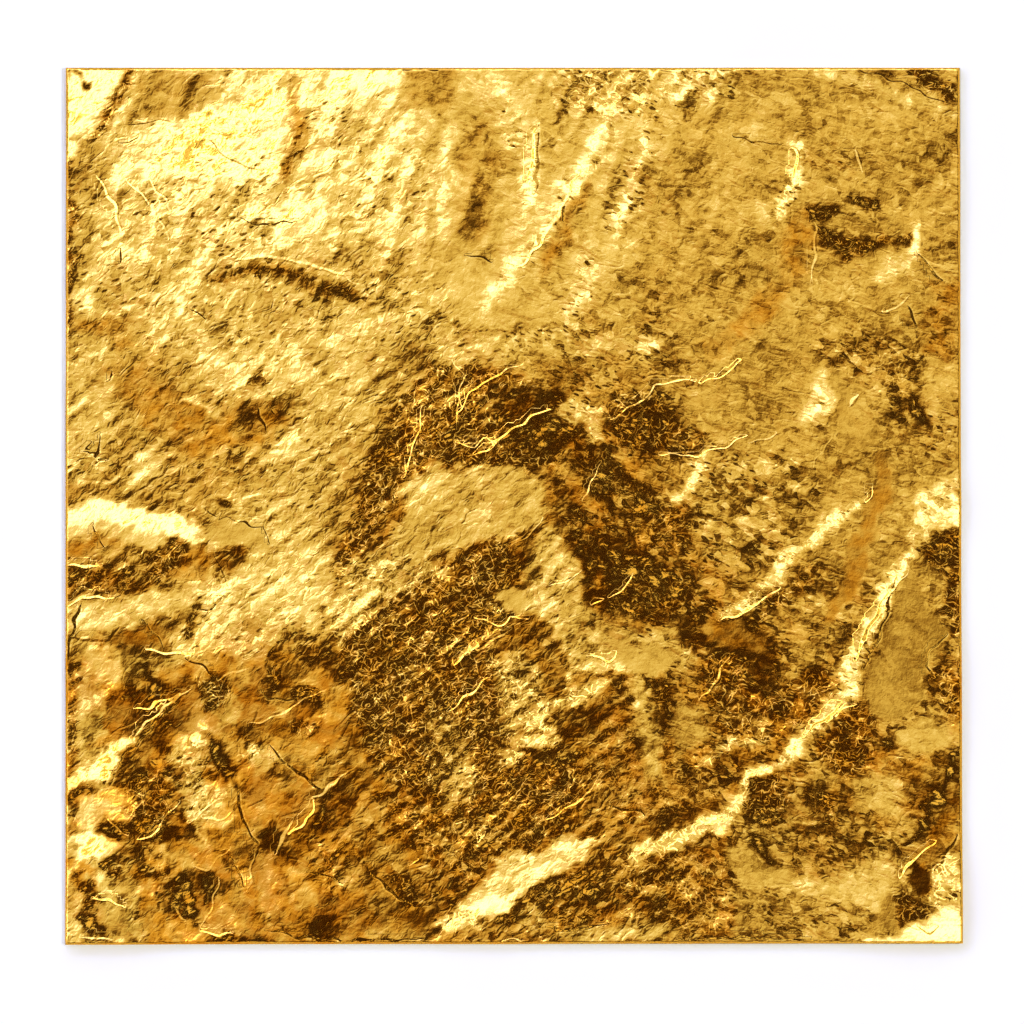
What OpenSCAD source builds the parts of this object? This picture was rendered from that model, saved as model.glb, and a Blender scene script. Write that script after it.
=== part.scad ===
// Gold leaf booklet: loose gold leaves between tissue pages, glued along the left edge.
// It lies open on its back cover, with the front cover folded back underneath.
// +Z is up, +X runs from the glued edge to the free edge, the origin is the middle of the base.

/* [Pages] */
// Width of a tissue page, from the glued edge to the free edge
page_w = 81.7; // [60:0.1:160]
// Height of a tissue page along the glued edge
page_h = 80; // [60:0.1:160]
// Thickness of a tissue page
tissue_t = 0.05; // [0.03:0.01:0.2]

/* [Gold leaves] */
// Thickness that stands for one leaf of beaten gold
foil_t = 0.02; // [0.01:0.01:0.1]
// How far a leaf's edges stay inside the edges of its page
leaf_margin = 0.1; // [0.05:0.05:5]
// Height of the crinkles of the top leaf
relief_h = 1.3; // [0.2:0.1:3]
// Most that the torn edges of the top leaf wander inwards
ragged_edge = 0.25; // [0:0.05:1]
// Side of one flat cell of the crinkled top leaf
leaf_cell = 2.4; // [2.2:0.1:8]
// Lift of the top leaf's lowest folds above its page
leaf_lift = 0.02; // [0.01:0.01:0.2]

/* [Covers] */
// Thickness of the card of the covers
cover_t = 0.25; // [0.15:0.05:1]
// Room between the highest crinkle and the guard sheet when the cover is closed
closing_gap = 0.15; // [0.05:0.05:1]
// Distance of the guard sheet from the crease of the front cover
guard_setback = 0.5; // [0.2:0.1:5]

/* [Glued edge] */
// Thickness of the glue film on the glued edge
glue_t = 0.15; // [0.05:0.05:0.5]

/* [Hidden] */
// Sheets of gold, each on a page of its own, counted from the top
leaf_count = 10;

// Levels from the table up: guard sheet, front cover, back cover, then the block of pages
front_cover_z = tissue_t;
back_cover_z = front_cover_z + cover_t;
block_z = back_cover_z + cover_t;
page_pitch = tissue_t + foil_t;
function page_z(i) = block_z + (leaf_count - i) * page_pitch;
block_top_z = page_z(1) + tissue_t;
crinkle_z = block_top_z + leaf_lift;
leaf_top_z = crinkle_z + relief_h + foil_t;

// Lines along X, with the whole booklet centred on the origin
booklet_w = cover_t + glue_t + page_w;
fold_x = -booklet_w / 2;
glue_x = fold_x + cover_t;
page_x = glue_x + glue_t;
free_x = booklet_w / 2;

// The spine strip is as high as the closed booklet is between its covers
strip_w = leaf_top_z + closing_gap + tissue_t - back_cover_z;
front_cover_x = fold_x + strip_w;
front_cover_w = free_x - front_cover_x;

gold_w = page_w - 2 * leaf_margin;
gold_h = page_h - 2 * leaf_margin;
gold_middle = [page_x + page_w / 2, 0];

paper_colour = [0.96, 0.96, 0.94];
card_colour = [0.93, 0.92, 0.88];
gold_colour = [0.85, 0.62, 0.2];
glue_colour = [0.9, 0.88, 0.8];

// Main folds of the top leaf: [strength, half width, points from the leaf's middle].
// A strength is a share of relief_h, above 0 for a ridge and below 0 for a valley.
leaf_folds = [
    [-0.45, 2.0, [[-33, 39], [-37, 34], [-40, 28]]],
    [0.40, 2.5, [[-28, 36], [-23, 30]]],
    [0.35, 1.6, [[-19.5, 38], [-20.5, 30]]],
    [0.45, 1.8, [[-6, 35], [-6, 25]]],
    [0.40, 1.4, [[1.5, 33], [1.5, 27]]],
    [0.45, 1.6, [[8, 34], [0, 22]]],
    [0.60, 2.4, [[13.5, 33], [6, 17]]],
    [0.40, 1.8, [[26, 31], [24, 26]]],
    [-0.45, 3.0, [[16, 14], [25, 25]]],
    [0.45, 2.6, [[26, 28], [27.5, 19], [28, 10]]],
    [0.40, 3.0, [[21, 39], [32, 35], [41, 27]]],
    [-0.40, 1.8, [[27, 27], [32, 22]]],
    [-0.40, 1.8, [[-27, 21], [-24, 22], [-19, 21], [-15, 19], [-10, 18]]],
    [-0.45, 3.0, [[-41, 16], [-33, 10], [-25, 7]]],
    [0.55, 1.6, [[-41, 0], [-27, -2]]],
    [0.40, 1.5, [[-41, -8], [-36, -8]]],
    [0.55, 2.0, [[-40, -26], [-30, -18]]],
    [-0.60, 2.6, [[-15, -5], [-12, 5], [-8, 12], [-3, 11], [3, 10], [7, 4], [12, -5], [22, -12]]],
    [0.45, 4.5, [[-8, 1], [3, -2]]],
    [-0.50, 6.5, [[-5, -18], [-4, -16]]],
    [0.45, 1.8, [[-1, -23], [8, -16]]],
    [0.35, 1.5, [[0, 6], [4, 9]]],
    [0.35, 1.6, [[9, 9], [21, 12]]],
    [0.65, 1.8, [[41, 0], [36, -3], [34, -9], [32, -14], [29, -19], [25, -23], [20, -27],
                 [16, -30], [10, -33], [4, -32]]],
    [0.50, 3.0, [[7, -31], [-3, -38]]],
    [-0.45, 2.0, [[40, -3], [40, -10]]],
    [0.35, 7.0, [[37, -16], [31, -31]]],
    [-0.40, 1.8, [[36, -33], [39, -24]]],
    [0.75, 4.0, [[36, -40], [41, -36]]],
    [0.70, 3.5, [[-41, -40], [-36, -38]]],
    [-0.40, 7.0, [[-22, -20], [-14, -34]]]
];
// Height of the sheet away from its folds, as a share of relief_h, and how it settles at its rim
leaf_level = 0.32;
rim_settles = 0.16;
rim_width = 5;
// Share of relief_h left to the small crumples
crumple = 0.14;
crumple_seed = 7;

// Distance of a point from a stretch between two points
function stretch_distance(p, a, b) =
    let (ab = b - a, share = max(0, min(1, (p - a) * ab / (ab * ab))))
    norm(p - a - share * ab);

// What one fold adds at a point, as a share of relief_h
function fold_at(p, fold) =
    let (route = fold[2],
         away = min([for (i = [1:len(route) - 1]) stretch_distance(p, route[i - 1], route[i])]))
    fold[0] * exp(-pow(away / fold[1], 2));

// Sum of a list of numbers
function total(values) = values * [for (v = values) 1];

// Distance of a point of the top leaf from the nearest edge
function rim_distance(p) = min(gold_w / 2 - abs(p[0]), gold_h / 2 - abs(p[1]));

// Height of the top leaf at a point, with a small crumple from -1 to 1 added
function leaf_height(p, small) =
    relief_h * max(0, min(1, leaf_level + crumple * small
                             - rim_settles * exp(-pow(rim_distance(p) / rim_width, 2))
                             + total([for (fold = leaf_folds) fold_at(p, fold)])));

// One flat rectangular sheet with its low corner at a place
module sheet(place, size) {
    translate(place) cube(size);
}

// Card under the block of pages
module back_cover() {
    color(card_colour)
        sheet([glue_x, -page_h / 2, back_cover_z], [free_x - glue_x, page_h, cover_t]);
}

// Strip of the cover between its two creases, folded under the back cover
module cover_spine() {
    color(card_colour)
        sheet([fold_x, -page_h / 2, front_cover_z], [strip_w, page_h, cover_t]);
}

// Front cover, folded back underneath
module front_cover() {
    color(card_colour)
        sheet([front_cover_x, -page_h / 2, front_cover_z], [front_cover_w, page_h, cover_t]);
}

// First tissue, which faced the top leaf and is turned back with the front cover
module guard_sheet() {
    color(paper_colour)
        sheet([front_cover_x + guard_setback, -page_h / 2, 0],
              [front_cover_w - guard_setback, page_h, tissue_t]);
}

// Film of glue that holds the pages along their left edges
module spine_glue() {
    color(glue_colour)
        sheet([glue_x, -page_h / 2, block_z], [glue_t, page_h, block_top_z - block_z]);
}

// Tissue page number i, counted from the top
module interleaf(i) {
    color(paper_colour)
        sheet([page_x, -page_h / 2, page_z(i)], [page_w, page_h, tissue_t]);
}

// Flat gold leaf number i, lying on its page
module flat_leaf(i) {
    color(gold_colour)
        translate([gold_middle[0] - gold_w / 2, gold_middle[1] - gold_h / 2, page_z(i) + tissue_t])
            cube([gold_w, gold_h, foil_t]);
}

// Crinkled sheet with ragged edges, as two layers of points joined by their rims
module crinkled_leaf() {
    n = max(2, round(gold_w / leaf_cell));
    row = n + 1;
    layer = row * row;
    small = rands(-1, 1, layer, crumple_seed);
    inset = rands(0, ragged_edge, layer, crumple_seed + 1);

    // Step of one point towards the middle, on the rim only
    function rim_step(index, i) = i == 0 ? inset[index] : (i == n ? -inset[index] : 0);
    function place(i, j) =
        let (index = j * row + i)
        [gold_w * (i / n - 0.5) + rim_step(index, i), gold_h * (j / n - 0.5) + rim_step(index, j)];

    points = [
        for (level = [0, foil_t], j = [0:n], i = [0:n])
            let (p = place(i, j))
            [gold_middle[0] + p[0], gold_middle[1] + p[1],
             crinkle_z + leaf_height(p, small[j * row + i]) + level]
    ];
    // Two triangles of a cell seen from above, with the diagonal turned in every other cell
    function cell(a, b, c, d, turned) = turned ? [[a, d, b], [b, d, c]] : [[a, d, c], [a, c, b]];
    cells = [
        for (j = [0:n - 1], i = [0:n - 1])
            let (a = j * row + i)
            each cell(a, a + 1, a + row + 1, a + row, (i + j) % 2 == 0)
    ];
    under = [for (face = cells) [face[2], face[1], face[0]]];
    over = [for (face = cells) [for (index = face) index + layer]];
    // Quads round the rim, from the lower layer to the upper one
    rim = concat(
        [for (i = [0:n - 1]) [i, i + 1]],
        [for (j = [0:n - 1]) [j * row + n, (j + 1) * row + n]],
        [for (i = [n:-1:1]) [n * row + i, n * row + i - 1]],
        [for (j = [n:-1:1]) [j * row, (j - 1) * row]]
    );
    sides = [for (edge = rim) each [[edge[0], layer + edge[0], layer + edge[1]],
                                    [edge[0], layer + edge[1], edge[1]]]];
    color(gold_colour)
        polyhedron(points, concat(under, over, sides), 1);
}

back_cover();
cover_spine();
front_cover();
guard_sheet();
spine_glue();
interleaf(1);  // interleaf_01
interleaf(2);  // interleaf_02
interleaf(3);  // interleaf_03
interleaf(4);  // interleaf_04
interleaf(5);  // interleaf_05
interleaf(6);  // interleaf_06
interleaf(7);  // interleaf_07
interleaf(8);  // interleaf_08
interleaf(9);  // interleaf_09
interleaf(10);  // interleaf_10
crinkled_leaf();  // gold_leaf_01
flat_leaf(2);  // gold_leaf_02
flat_leaf(3);  // gold_leaf_03
flat_leaf(4);  // gold_leaf_04
flat_leaf(5);  // gold_leaf_05
flat_leaf(6);  // gold_leaf_06
flat_leaf(7);  // gold_leaf_07
flat_leaf(8);  // gold_leaf_08
flat_leaf(9);  // gold_leaf_09
flat_leaf(10);  // gold_leaf_10
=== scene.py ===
"""Looks of a gold leaf booklet, in metres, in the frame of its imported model.

The booklet lies on its folded back front cover. Ten tissue pages are glued along the left edge, each
with a loose gold leaf on it, and the crinkled leaf of the top page shows. Places on the leaf are given
in millimetres from its middle, X to the right and Y up.
"""

import logging
import math
from collections.abc import Iterator, Sequence
from dataclasses import dataclass, field
from enum import Enum

import bpy
import numpy as np
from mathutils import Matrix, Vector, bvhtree, kdtree


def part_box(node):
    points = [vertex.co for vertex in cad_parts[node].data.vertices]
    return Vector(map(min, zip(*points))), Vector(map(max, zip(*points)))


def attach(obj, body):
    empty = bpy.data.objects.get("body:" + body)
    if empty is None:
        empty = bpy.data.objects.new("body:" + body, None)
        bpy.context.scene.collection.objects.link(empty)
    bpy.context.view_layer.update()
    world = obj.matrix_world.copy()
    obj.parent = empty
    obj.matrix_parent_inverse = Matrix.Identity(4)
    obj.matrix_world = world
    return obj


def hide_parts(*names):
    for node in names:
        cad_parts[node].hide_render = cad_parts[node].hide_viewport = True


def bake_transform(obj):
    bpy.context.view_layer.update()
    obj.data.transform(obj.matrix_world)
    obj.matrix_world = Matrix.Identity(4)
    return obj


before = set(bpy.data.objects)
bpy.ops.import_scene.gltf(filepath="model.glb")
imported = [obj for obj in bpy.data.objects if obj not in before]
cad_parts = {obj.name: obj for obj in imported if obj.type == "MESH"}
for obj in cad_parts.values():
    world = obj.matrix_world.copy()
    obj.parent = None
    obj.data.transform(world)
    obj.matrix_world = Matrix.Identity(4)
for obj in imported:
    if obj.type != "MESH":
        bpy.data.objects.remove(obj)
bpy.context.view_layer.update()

MM = 0.001
LOG = logging.getLogger("booklet")
LEAF_COUNT = 10
DIAGONAL = math.sqrt(0.5)
HALF = (0.5, 0.5, 0.5)
FALLS = (1.0, 0.0)
FAR_AWAY = 1e9
TINY = 1e-9

Point = tuple[float, float]
Step = tuple[float, ...]
Colour = tuple[float, float, float]
Socket = bpy.types.NodeSocket
Value = bpy.types.NodeSocket | float | tuple[float, ...]


class Graph:
    """A node tree with short calls for adding and wiring its nodes."""

    def __init__(self, tree: bpy.types.NodeTree) -> None:
        """Starts the graph on an emptied tree.

        Args:
            tree: The node tree of a material, a world or a modifier.
        """
        self.tree = tree
        tree.nodes.clear()

    def add(self, kind: str, inputs: dict | None = None, **settings: object) -> bpy.types.Node:
        """Adds one node.

        Args:
            kind: The node's type name.
            inputs: Values or sockets by input name or index.
            settings: Properties of the node.

        Returns:
            The new node.
        """
        node = self.tree.nodes.new(kind)
        for name, value in settings.items():
            setattr(node, name, value)
        for key, value in (inputs or {}).items():
            if isinstance(value, Socket):
                self.tree.links.new(value, node.inputs[key])
            else:
                node.inputs[key].default_value = value
        return node

    def math(self, operation: str, *values: Value) -> Socket:
        """Adds a math node of an operation and returns its result's socket."""
        return self.add("ShaderNodeMath", dict(enumerate(values)), operation=operation).outputs[0]

    def vector(self, operation: str, *values: Value) -> Socket:
        """Adds a vector math node of an operation and returns its vector's socket."""
        return self.add("ShaderNodeVectorMath", dict(enumerate(values)), operation=operation).outputs[0]

    def scaled(self, vector: Value, factor: Value) -> Socket:
        """Scales a vector by a number and returns its socket."""
        return self.add("ShaderNodeVectorMath", {0: vector, "Scale": factor}, operation="SCALE").outputs[0]

    def step(self, value: Socket, low: float, high: float, start: float = 0.0, end: float = 1.0) -> Socket:
        """Maps a value from start, below low, smoothly to end, above high."""
        keys = {"Value": value, "From Min": low, "From Max": high, "To Min": start, "To Max": end}
        return self.add("ShaderNodeMapRange", keys, interpolation_type="SMOOTHSTEP").outputs[0]

    def band(self, value: Socket, rise: Point, fall: Point) -> Socket:
        """Steps a value up from 0 to 1 between the ends of rise, and down again between those of fall."""
        return self.math("MULTIPLY", self.step(value, *rise), self.step(value, *fall, *FALLS))

    def mix(self, factor: Value, first: Value, second: Value) -> Socket:
        """Mixes two colours, each with its alpha, by the share of the second."""
        return self.add("ShaderNodeMix", {0: factor, 6: first, 7: second}, data_type="RGBA").outputs[2]

    def mix_numbers(self, factor: Value, first: Value, second: Value) -> Socket:
        """Mixes two numbers by the share of the second."""
        return self.add("ShaderNodeMix", {0: factor, 2: first, 3: second}).outputs[0]

    def noise(self, vector: Socket, scale: float, detail: float = 0.0, distortion: float = 0.0) -> Socket:
        """Adds a noise texture of a scale in waves to a unit and returns its factor."""
        keys = {"Vector": vector, "Scale": scale, "Detail": detail, "Distortion": distortion}
        return self.add("ShaderNodeTexNoise", keys).outputs[0]

    def cells(self, vector: Socket, scale: float, feature: str = "F1") -> bpy.types.Node:
        """Adds a texture of irregular cells of a scale in cells to a unit, and returns its node."""
        keys = {"Vector": vector, "Scale": scale}
        return self.add("ShaderNodeTexVoronoi", keys, voronoi_dimensions="2D", feature=feature)

    def turned(self, vector: Socket, degrees: float, stretch: float, shift: float = 0.0) -> Socket:
        """Turns coordinates about Z and squeezes them along the new X, so a pattern gets long along it.

        Args:
            vector: Socket of the coordinates.
            degrees: Direction of the pattern's length, from X.
            stretch: How many times longer than wide the pattern gets.
            shift: Offset that makes the pattern another one.

        Returns:
            The new coordinates' socket.
        """
        keys = {"Vector": vector, "Rotation": (0, 0, -math.radians(degrees))}
        turn = self.add("ShaderNodeMapping", keys).outputs[0]
        keys = {"Vector": turn, "Scale": (1 / stretch, 1, 1), "Location": (shift, shift, shift)}
        return self.add("ShaderNodeMapping", keys).outputs[0]

    def bent(self, vector: Socket, scale: float, reach: float) -> Socket:
        """Bends coordinates to and fro, so straight patterns wander.

        Args:
            vector: Socket of the coordinates.
            scale: Bends per unit of the coordinates.
            reach: How far they are bent.

        Returns:
            The new coordinates' socket.
        """
        keys = {"Vector": vector, "Scale": scale, "Detail": 1.0}
        centred = self.vector("SUBTRACT", self.add("ShaderNodeTexNoise", keys).outputs["Color"], HALF)
        shift = self.vector("MULTIPLY", centred, (2 * reach, 2 * reach, 0.0))
        return self.vector("ADD", vector, shift)

    def place(self) -> Socket:
        """Gives the place on the piece, in mm."""
        spot = self.add("ShaderNodeTexCoord").outputs["Object"]
        return self.add("ShaderNodeMapping", {"Vector": spot, "Scale": (1 / MM,) * 3}).outputs[0]

    def bump(self, height: Socket, distance: float, normal: Socket | None = None) -> Socket:
        """Adds a bump.

        Args:
            height: Socket of the height.
            distance: How far a height of 1 stands up, in metres.
            normal: Socket of the normal that is bumped, or None for the surface's own.

        Returns:
            The new normal's socket.
        """
        keys = {"Height": height, "Distance": distance, "Strength": 1.0}
        if normal is not None:
            keys["Normal"] = normal
        return self.add("ShaderNodeBump", keys).outputs[0]

    def surface(self, inputs: dict[str, Value]) -> None:
        """Ends a material in its shader, which takes the given values or sockets by name."""
        shader = self.add("ShaderNodeBsdfPrincipled", inputs).outputs[0]
        self.add("ShaderNodeOutputMaterial", {"Surface": shader})


def new_material(name: str) -> tuple[bpy.types.Material, Graph]:
    """Starts a material.

    Args:
        name: The material's name.

    Returns:
        The material, and the graph of its nodes.
    """
    made = bpy.data.materials.new(name)
    made.use_nodes = True
    return made, Graph(made.node_tree)


def new_object(name: str, mesh: bpy.types.Mesh) -> bpy.types.Object:
    """Puts a mesh in the scene.

    Args:
        name: The object's name.
        mesh: The mesh.

    Returns:
        The new object.
    """
    made = bpy.data.objects.new(name, mesh)
    bpy.context.collection.objects.link(made)
    return made


class Tone(Enum):
    """How a stretch of foil leans: degrees toward the light, degrees toward the near left corner, and
    how much painted shade turns its gold amber from 0 to 1, which stands in for the dim warm
    reflections of foil leaning away from the light. The names say how each tone looks."""

    WHITE = (14.5, 0.0, 0.0)
    BRIGHT = (8.4, 0.0, 0.0)
    PALE = (5.0, 0.0, 0.0)
    LIGHT = (2.2, 0.0, 0.05)
    PLAIN = (-0.3, 0.0, 0.15)
    DULL = (-1.6, 0.0, 0.35)
    HONEY = (-0.7, 0.8, 0.8)
    AMBER = (-0.9, 1.2, 1.0)
    SHADE = (-3.2, 1.0, 0.8)
    RUSSET = (-4.5, 2.0, 1.0)
    BROWN = (-7.6, 1.0, 0.8)
    DARK = (-10.5, 0.0, 0.7)
    BLACK = (-14.0, 0.0, 0.5)


WHITE, BRIGHT, PALE, LIGHT, PLAIN, DULL, HONEY, AMBER, SHADE, RUSSET, BROWN, DARK, BLACK = Tone


@dataclass(frozen=True)
class Facet:
    """A flat stretch of foil inside an outline, with the softness of its edge in mm."""

    tone: Tone
    points: tuple[Point, ...]
    soft: float = 0.35
    crumple: float | None = None

    def cover(self, x: np.ndarray, y: np.ndarray) -> np.ndarray:
        """Says how much of each place the facet covers.

        Args:
            x: X of the places, in mm.
            y: Y of the places, in mm.

        Returns:
            The share from 0 to 1.
        """
        inside = np.zeros(x.shape, bool)
        near = np.full(x.shape, FAR_AWAY)
        last = self.points[-1]
        for point in self.points:
            near = np.minimum(near, edge_distance(x, y, last, point)[0])
            crosses = (last[1] > y) != (point[1] > y)
            rise = point[1] - last[1] or TINY
            inside ^= crosses & (x < (point[0] - last[0]) * (y - last[1]) / rise + last[0])
            last = point
        return smooth(np.where(inside, near, -near) / self.soft)


@dataclass(frozen=True)
class Fold:
    """A narrow pleat or crease of foil along a line, thinner at its ends."""

    tone: Tone
    width: float
    points: tuple[Point, ...]
    soft: float = 0.22
    crumple: float | None = None

    def legs(self, x: np.ndarray, y: np.ndarray) -> Iterator[tuple[Point, Point, np.ndarray, np.ndarray]]:
        """Measures places against each straight leg of the fold.

        Args:
            x: X of the places, in mm.
            y: Y of the places, in mm.

        Yields:
            The leg's start and end, the distance from it, and the share of the fold's length there.
        """
        count = len(self.points) - 1
        for index, (start, end) in enumerate(zip(self.points, self.points[1:])):
            away, along = edge_distance(x, y, start, end)
            yield start, end, away, (index + along) / count

    def cover(self, x: np.ndarray, y: np.ndarray) -> np.ndarray:
        """Says how much of each place the fold covers.

        Args:
            x: X of the places, in mm.
            y: Y of the places, in mm.

        Returns:
            The share from 0 to 1.
        """
        best = np.full(x.shape, -FAR_AWAY)
        for _, _, away, part in self.legs(x, y):
            best = np.maximum(best, self.width / 2 * taper(part, 0.35) - away)
        return smooth(best / self.soft)


def edge_distance(x: np.ndarray, y: np.ndarray, a: Point, b: Point) -> tuple[np.ndarray, np.ndarray]:
    """Measures places against one straight edge.

    Args:
        x: X of the places.
        y: Y of the places.
        a: Start of the edge.
        b: End of the edge.

    Returns:
        The distance from the edge, and the share of the edge's length at the nearest point.
    """
    dx, dy = b[0] - a[0], b[1] - a[1]
    along = np.clip(((x - a[0]) * dx + (y - a[1]) * dy) / max(dx * dx + dy * dy, TINY), 0.0, 1.0)
    return np.hypot(x - a[0] - along * dx, y - a[1] - along * dy), along


def taper(part: np.ndarray, ends: float) -> np.ndarray:
    """Narrows a line toward its ends, where a share of its width is left, by the share of its length."""
    return ends + (1 - ends) * np.sqrt(np.sin(np.pi * np.clip(part, 0.0, 1.0)))


def smooth(value: np.ndarray) -> np.ndarray:
    """Turns -1 to 1 into a smooth step from 0 to 1."""
    t = np.clip(value * 0.5 + 0.5, 0.0, 1.0)
    return t * t * (3 - 2 * t)


def beyond(value: np.ndarray, edge: Point) -> np.ndarray:
    """Steps smoothly from 0 to 1 past an edge, given by the step's middle and half its width."""
    return smooth((value - edge[0]) / edge[1])


# Broad tones, painted first and blended softly
REGIONS = (
    Facet(DULL, ((-60, 60), (60, 60), (60, -60), (-60, -60)), 1.0, 0.4),
    Facet(PALE, ((-42, 41), (-8, 41), (-6, 33), (-8, 23), (-16, 22), (-30, 25), (-42, 24)), 2.5, 0.4),
    Facet(LIGHT, ((-42, 25), (-30, 25), (-16, 21), (-8, 22), (-8, 15), (-12, 9), (-16, 2), (-17, -8),
        (-28, -13), (-29, -3), (-24, 3), (-20, 9), (-28, 11), (-36, 17), (-42, 18)), 2.0, 0.4),
    Facet(PLAIN, ((12, 41), (41, 41), (41, -10), (26, -4), (15, 8)), 2.5, 0.28),
    Facet(LIGHT, ((-8, 41), (14, 41), (11, 28), (4, 15), (-8, 15)), 2.5, 0.28),
    Facet(PALE, ((-29, -4), (-22, -2), (-17, -5), (-16.5, -12), (-22, -14), (-31, -13)), 1.5, 0.4),
    Facet(PLAIN, ((-41, 17), (-36, 16.5), (-32, 12), (-29, 8), (-32, 5), (-41, 8)), 1.5, 0.35),
    Facet(LIGHT, ((-42, 16.5), (-37.4, 16), (-36.2, 12), (-36.4, 7), (-38, 3), (-42, 2)), 1.2, 0.35),
    Facet(SHADE, ((-14, 1), (-11, 8), (-6, 11), (4, 11.5), (12, 9.5), (14, -2), (24, -12), (26, -24),
        (20, -40), (-36, -41), (-34, -30), (-36, -24), (-30, -14), (-16, -12)), 2.5, 0.5),
    Facet(AMBER, ((-36, -14.2), (-28, -13.8), (-16, -14.5), (-14, -20), (-12.5, -24.5), (-10, -27),
        (-8, -34), (-9, -40.5), (-34, -40.5), (-34, -30), (-36, -25), (-31, -18)), 0.8, 0.25),
    Facet(HONEY, ((-30, -22), (-16, -22), (-10, -30), (-10, -41), (-33, -41), (-33, -30)), 2.0, 0.28),
    Facet(PLAIN, ((-41, -8), (-33, -9), (-30, -13), (-36, -20), (-41, -24)), 0.8, 0.35),
    Facet(LIGHT, ((-41, -26), (-38, -25.5), (-34.5, -30), (-34, -40.5), (-41, -40.5)), 0.8, 0.35),
    Facet(PLAIN, ((20, -27), (28, -24), (41, -20), (41, -40.5), (18, -40.5), (20, -33)), 1.5, 0.4),
    Facet(HONEY, ((30, -22), (40, -21), (40, -27), (33, -30), (28, -28)), 1.2, 0.35),
)

# The dark hollows, with the fine worms of foil in them
HOLLOWS = (
    Facet(BROWN, ((-16.6, -8), (-15.2, -2), (-12.6, 4.7), (-10.2, 9.8), (-7.8, 12.4), (-4.8, 12.9),
        (-1, 12.4), (3.8, 10.6), (6.6, 7.6), (8, 4.7), (1.9, 3.4), (-7.6, 4), (-9.6, 2.6), (-11.4, 0.2),
        (-13.2, -3.6)), 0.35, 1.0),
    Facet(BROWN, ((-17, -10), (-13, -5.5), (-8, -6.2), (-5, -4.5), (-1, -3), (1, -5.5), (-1, -8),
        (-1.8, -12), (-1.5, -16), (1.5, -18.5), (1, -21), (-2, -22), (1.5, -23), (7, -24), (5, -29.5),
        (0, -31), (-5, -29.5), (-8, -27), (-12.5, -24), (-14.5, -19), (-16, -14)), 0.7, 1.0),
    Facet(BROWN, ((8.8, 11), (12.5, 10.6), (14.5, 8.5), (17.8, 5.6), (17, 4.9), (13.5, 4.9),
        (9, 5.5)), 0.5, 0.85),
    Facet(RUSSET, ((17.5, -13.5), (21, -13), (24, -13), (24.2, -16.5), (29.5, -14), (30, -17), (27, -19.8),
        (23.5, -21.5), (20, -21), (17.8, -19)), 0.6, 0.9),
    Facet(RUSSET, ((31.2, -17.5), (33, -19), (33, -24), (30, -25), (27.5, -23), (28.5, -20.5)), 0.5, 0.9),
    Facet(DARK, ((20.5, -26), (24.8, -23.8), (25, -27), (23.5, -30), (21.5, -28.5)), 0.4, 0.9),
    Facet(SHADE, ((8, -19), (17, -21), (20, -26), (14, -29), (8, -29), (6, -25)), 0.8, 0.75),
    Facet(DARK, ((9, -15.5), (12, -15), (14.3, -16.5), (14.5, -18.8), (12, -19), (10, -17.5)), 0.4, 0.8),
    Facet(DARK, ((3, -34.3), (8.5, -32.3), (10, -34.5), (4, -36), (0, -38.5), (-1.5, -37.7)), 0.4, 0.8),
    Facet(SHADE, ((10, -31.5), (16, -31), (19.5, -31.5), (20, -37), (15, -36.5), (8, -34.8)), 0.6, 0.8),
    Facet(SHADE, ((4, -36.2), (20, -37), (20, -39.8), (9, -38), (3, -39.5)), 0.5, 0.8),
    Facet(RUSSET, ((-13, -26), (-4, -27), (6, -28), (4, -31), (-3, -33), (-5, -35), (-10, -31)), 1.0, 0.8),
    Facet(BROWN, ((-6, -28), (5, -28.6), (3, -30.6), (-1, -31.4), (-3.6, -33.6), (-6.4, -33)), 0.8, 0.8),
    Facet(SHADE, ((-17, -28.6), (-12, -29), (-10.6, -33.6), (-16, -34.4)), 1.2, 0.4),
)

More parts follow.
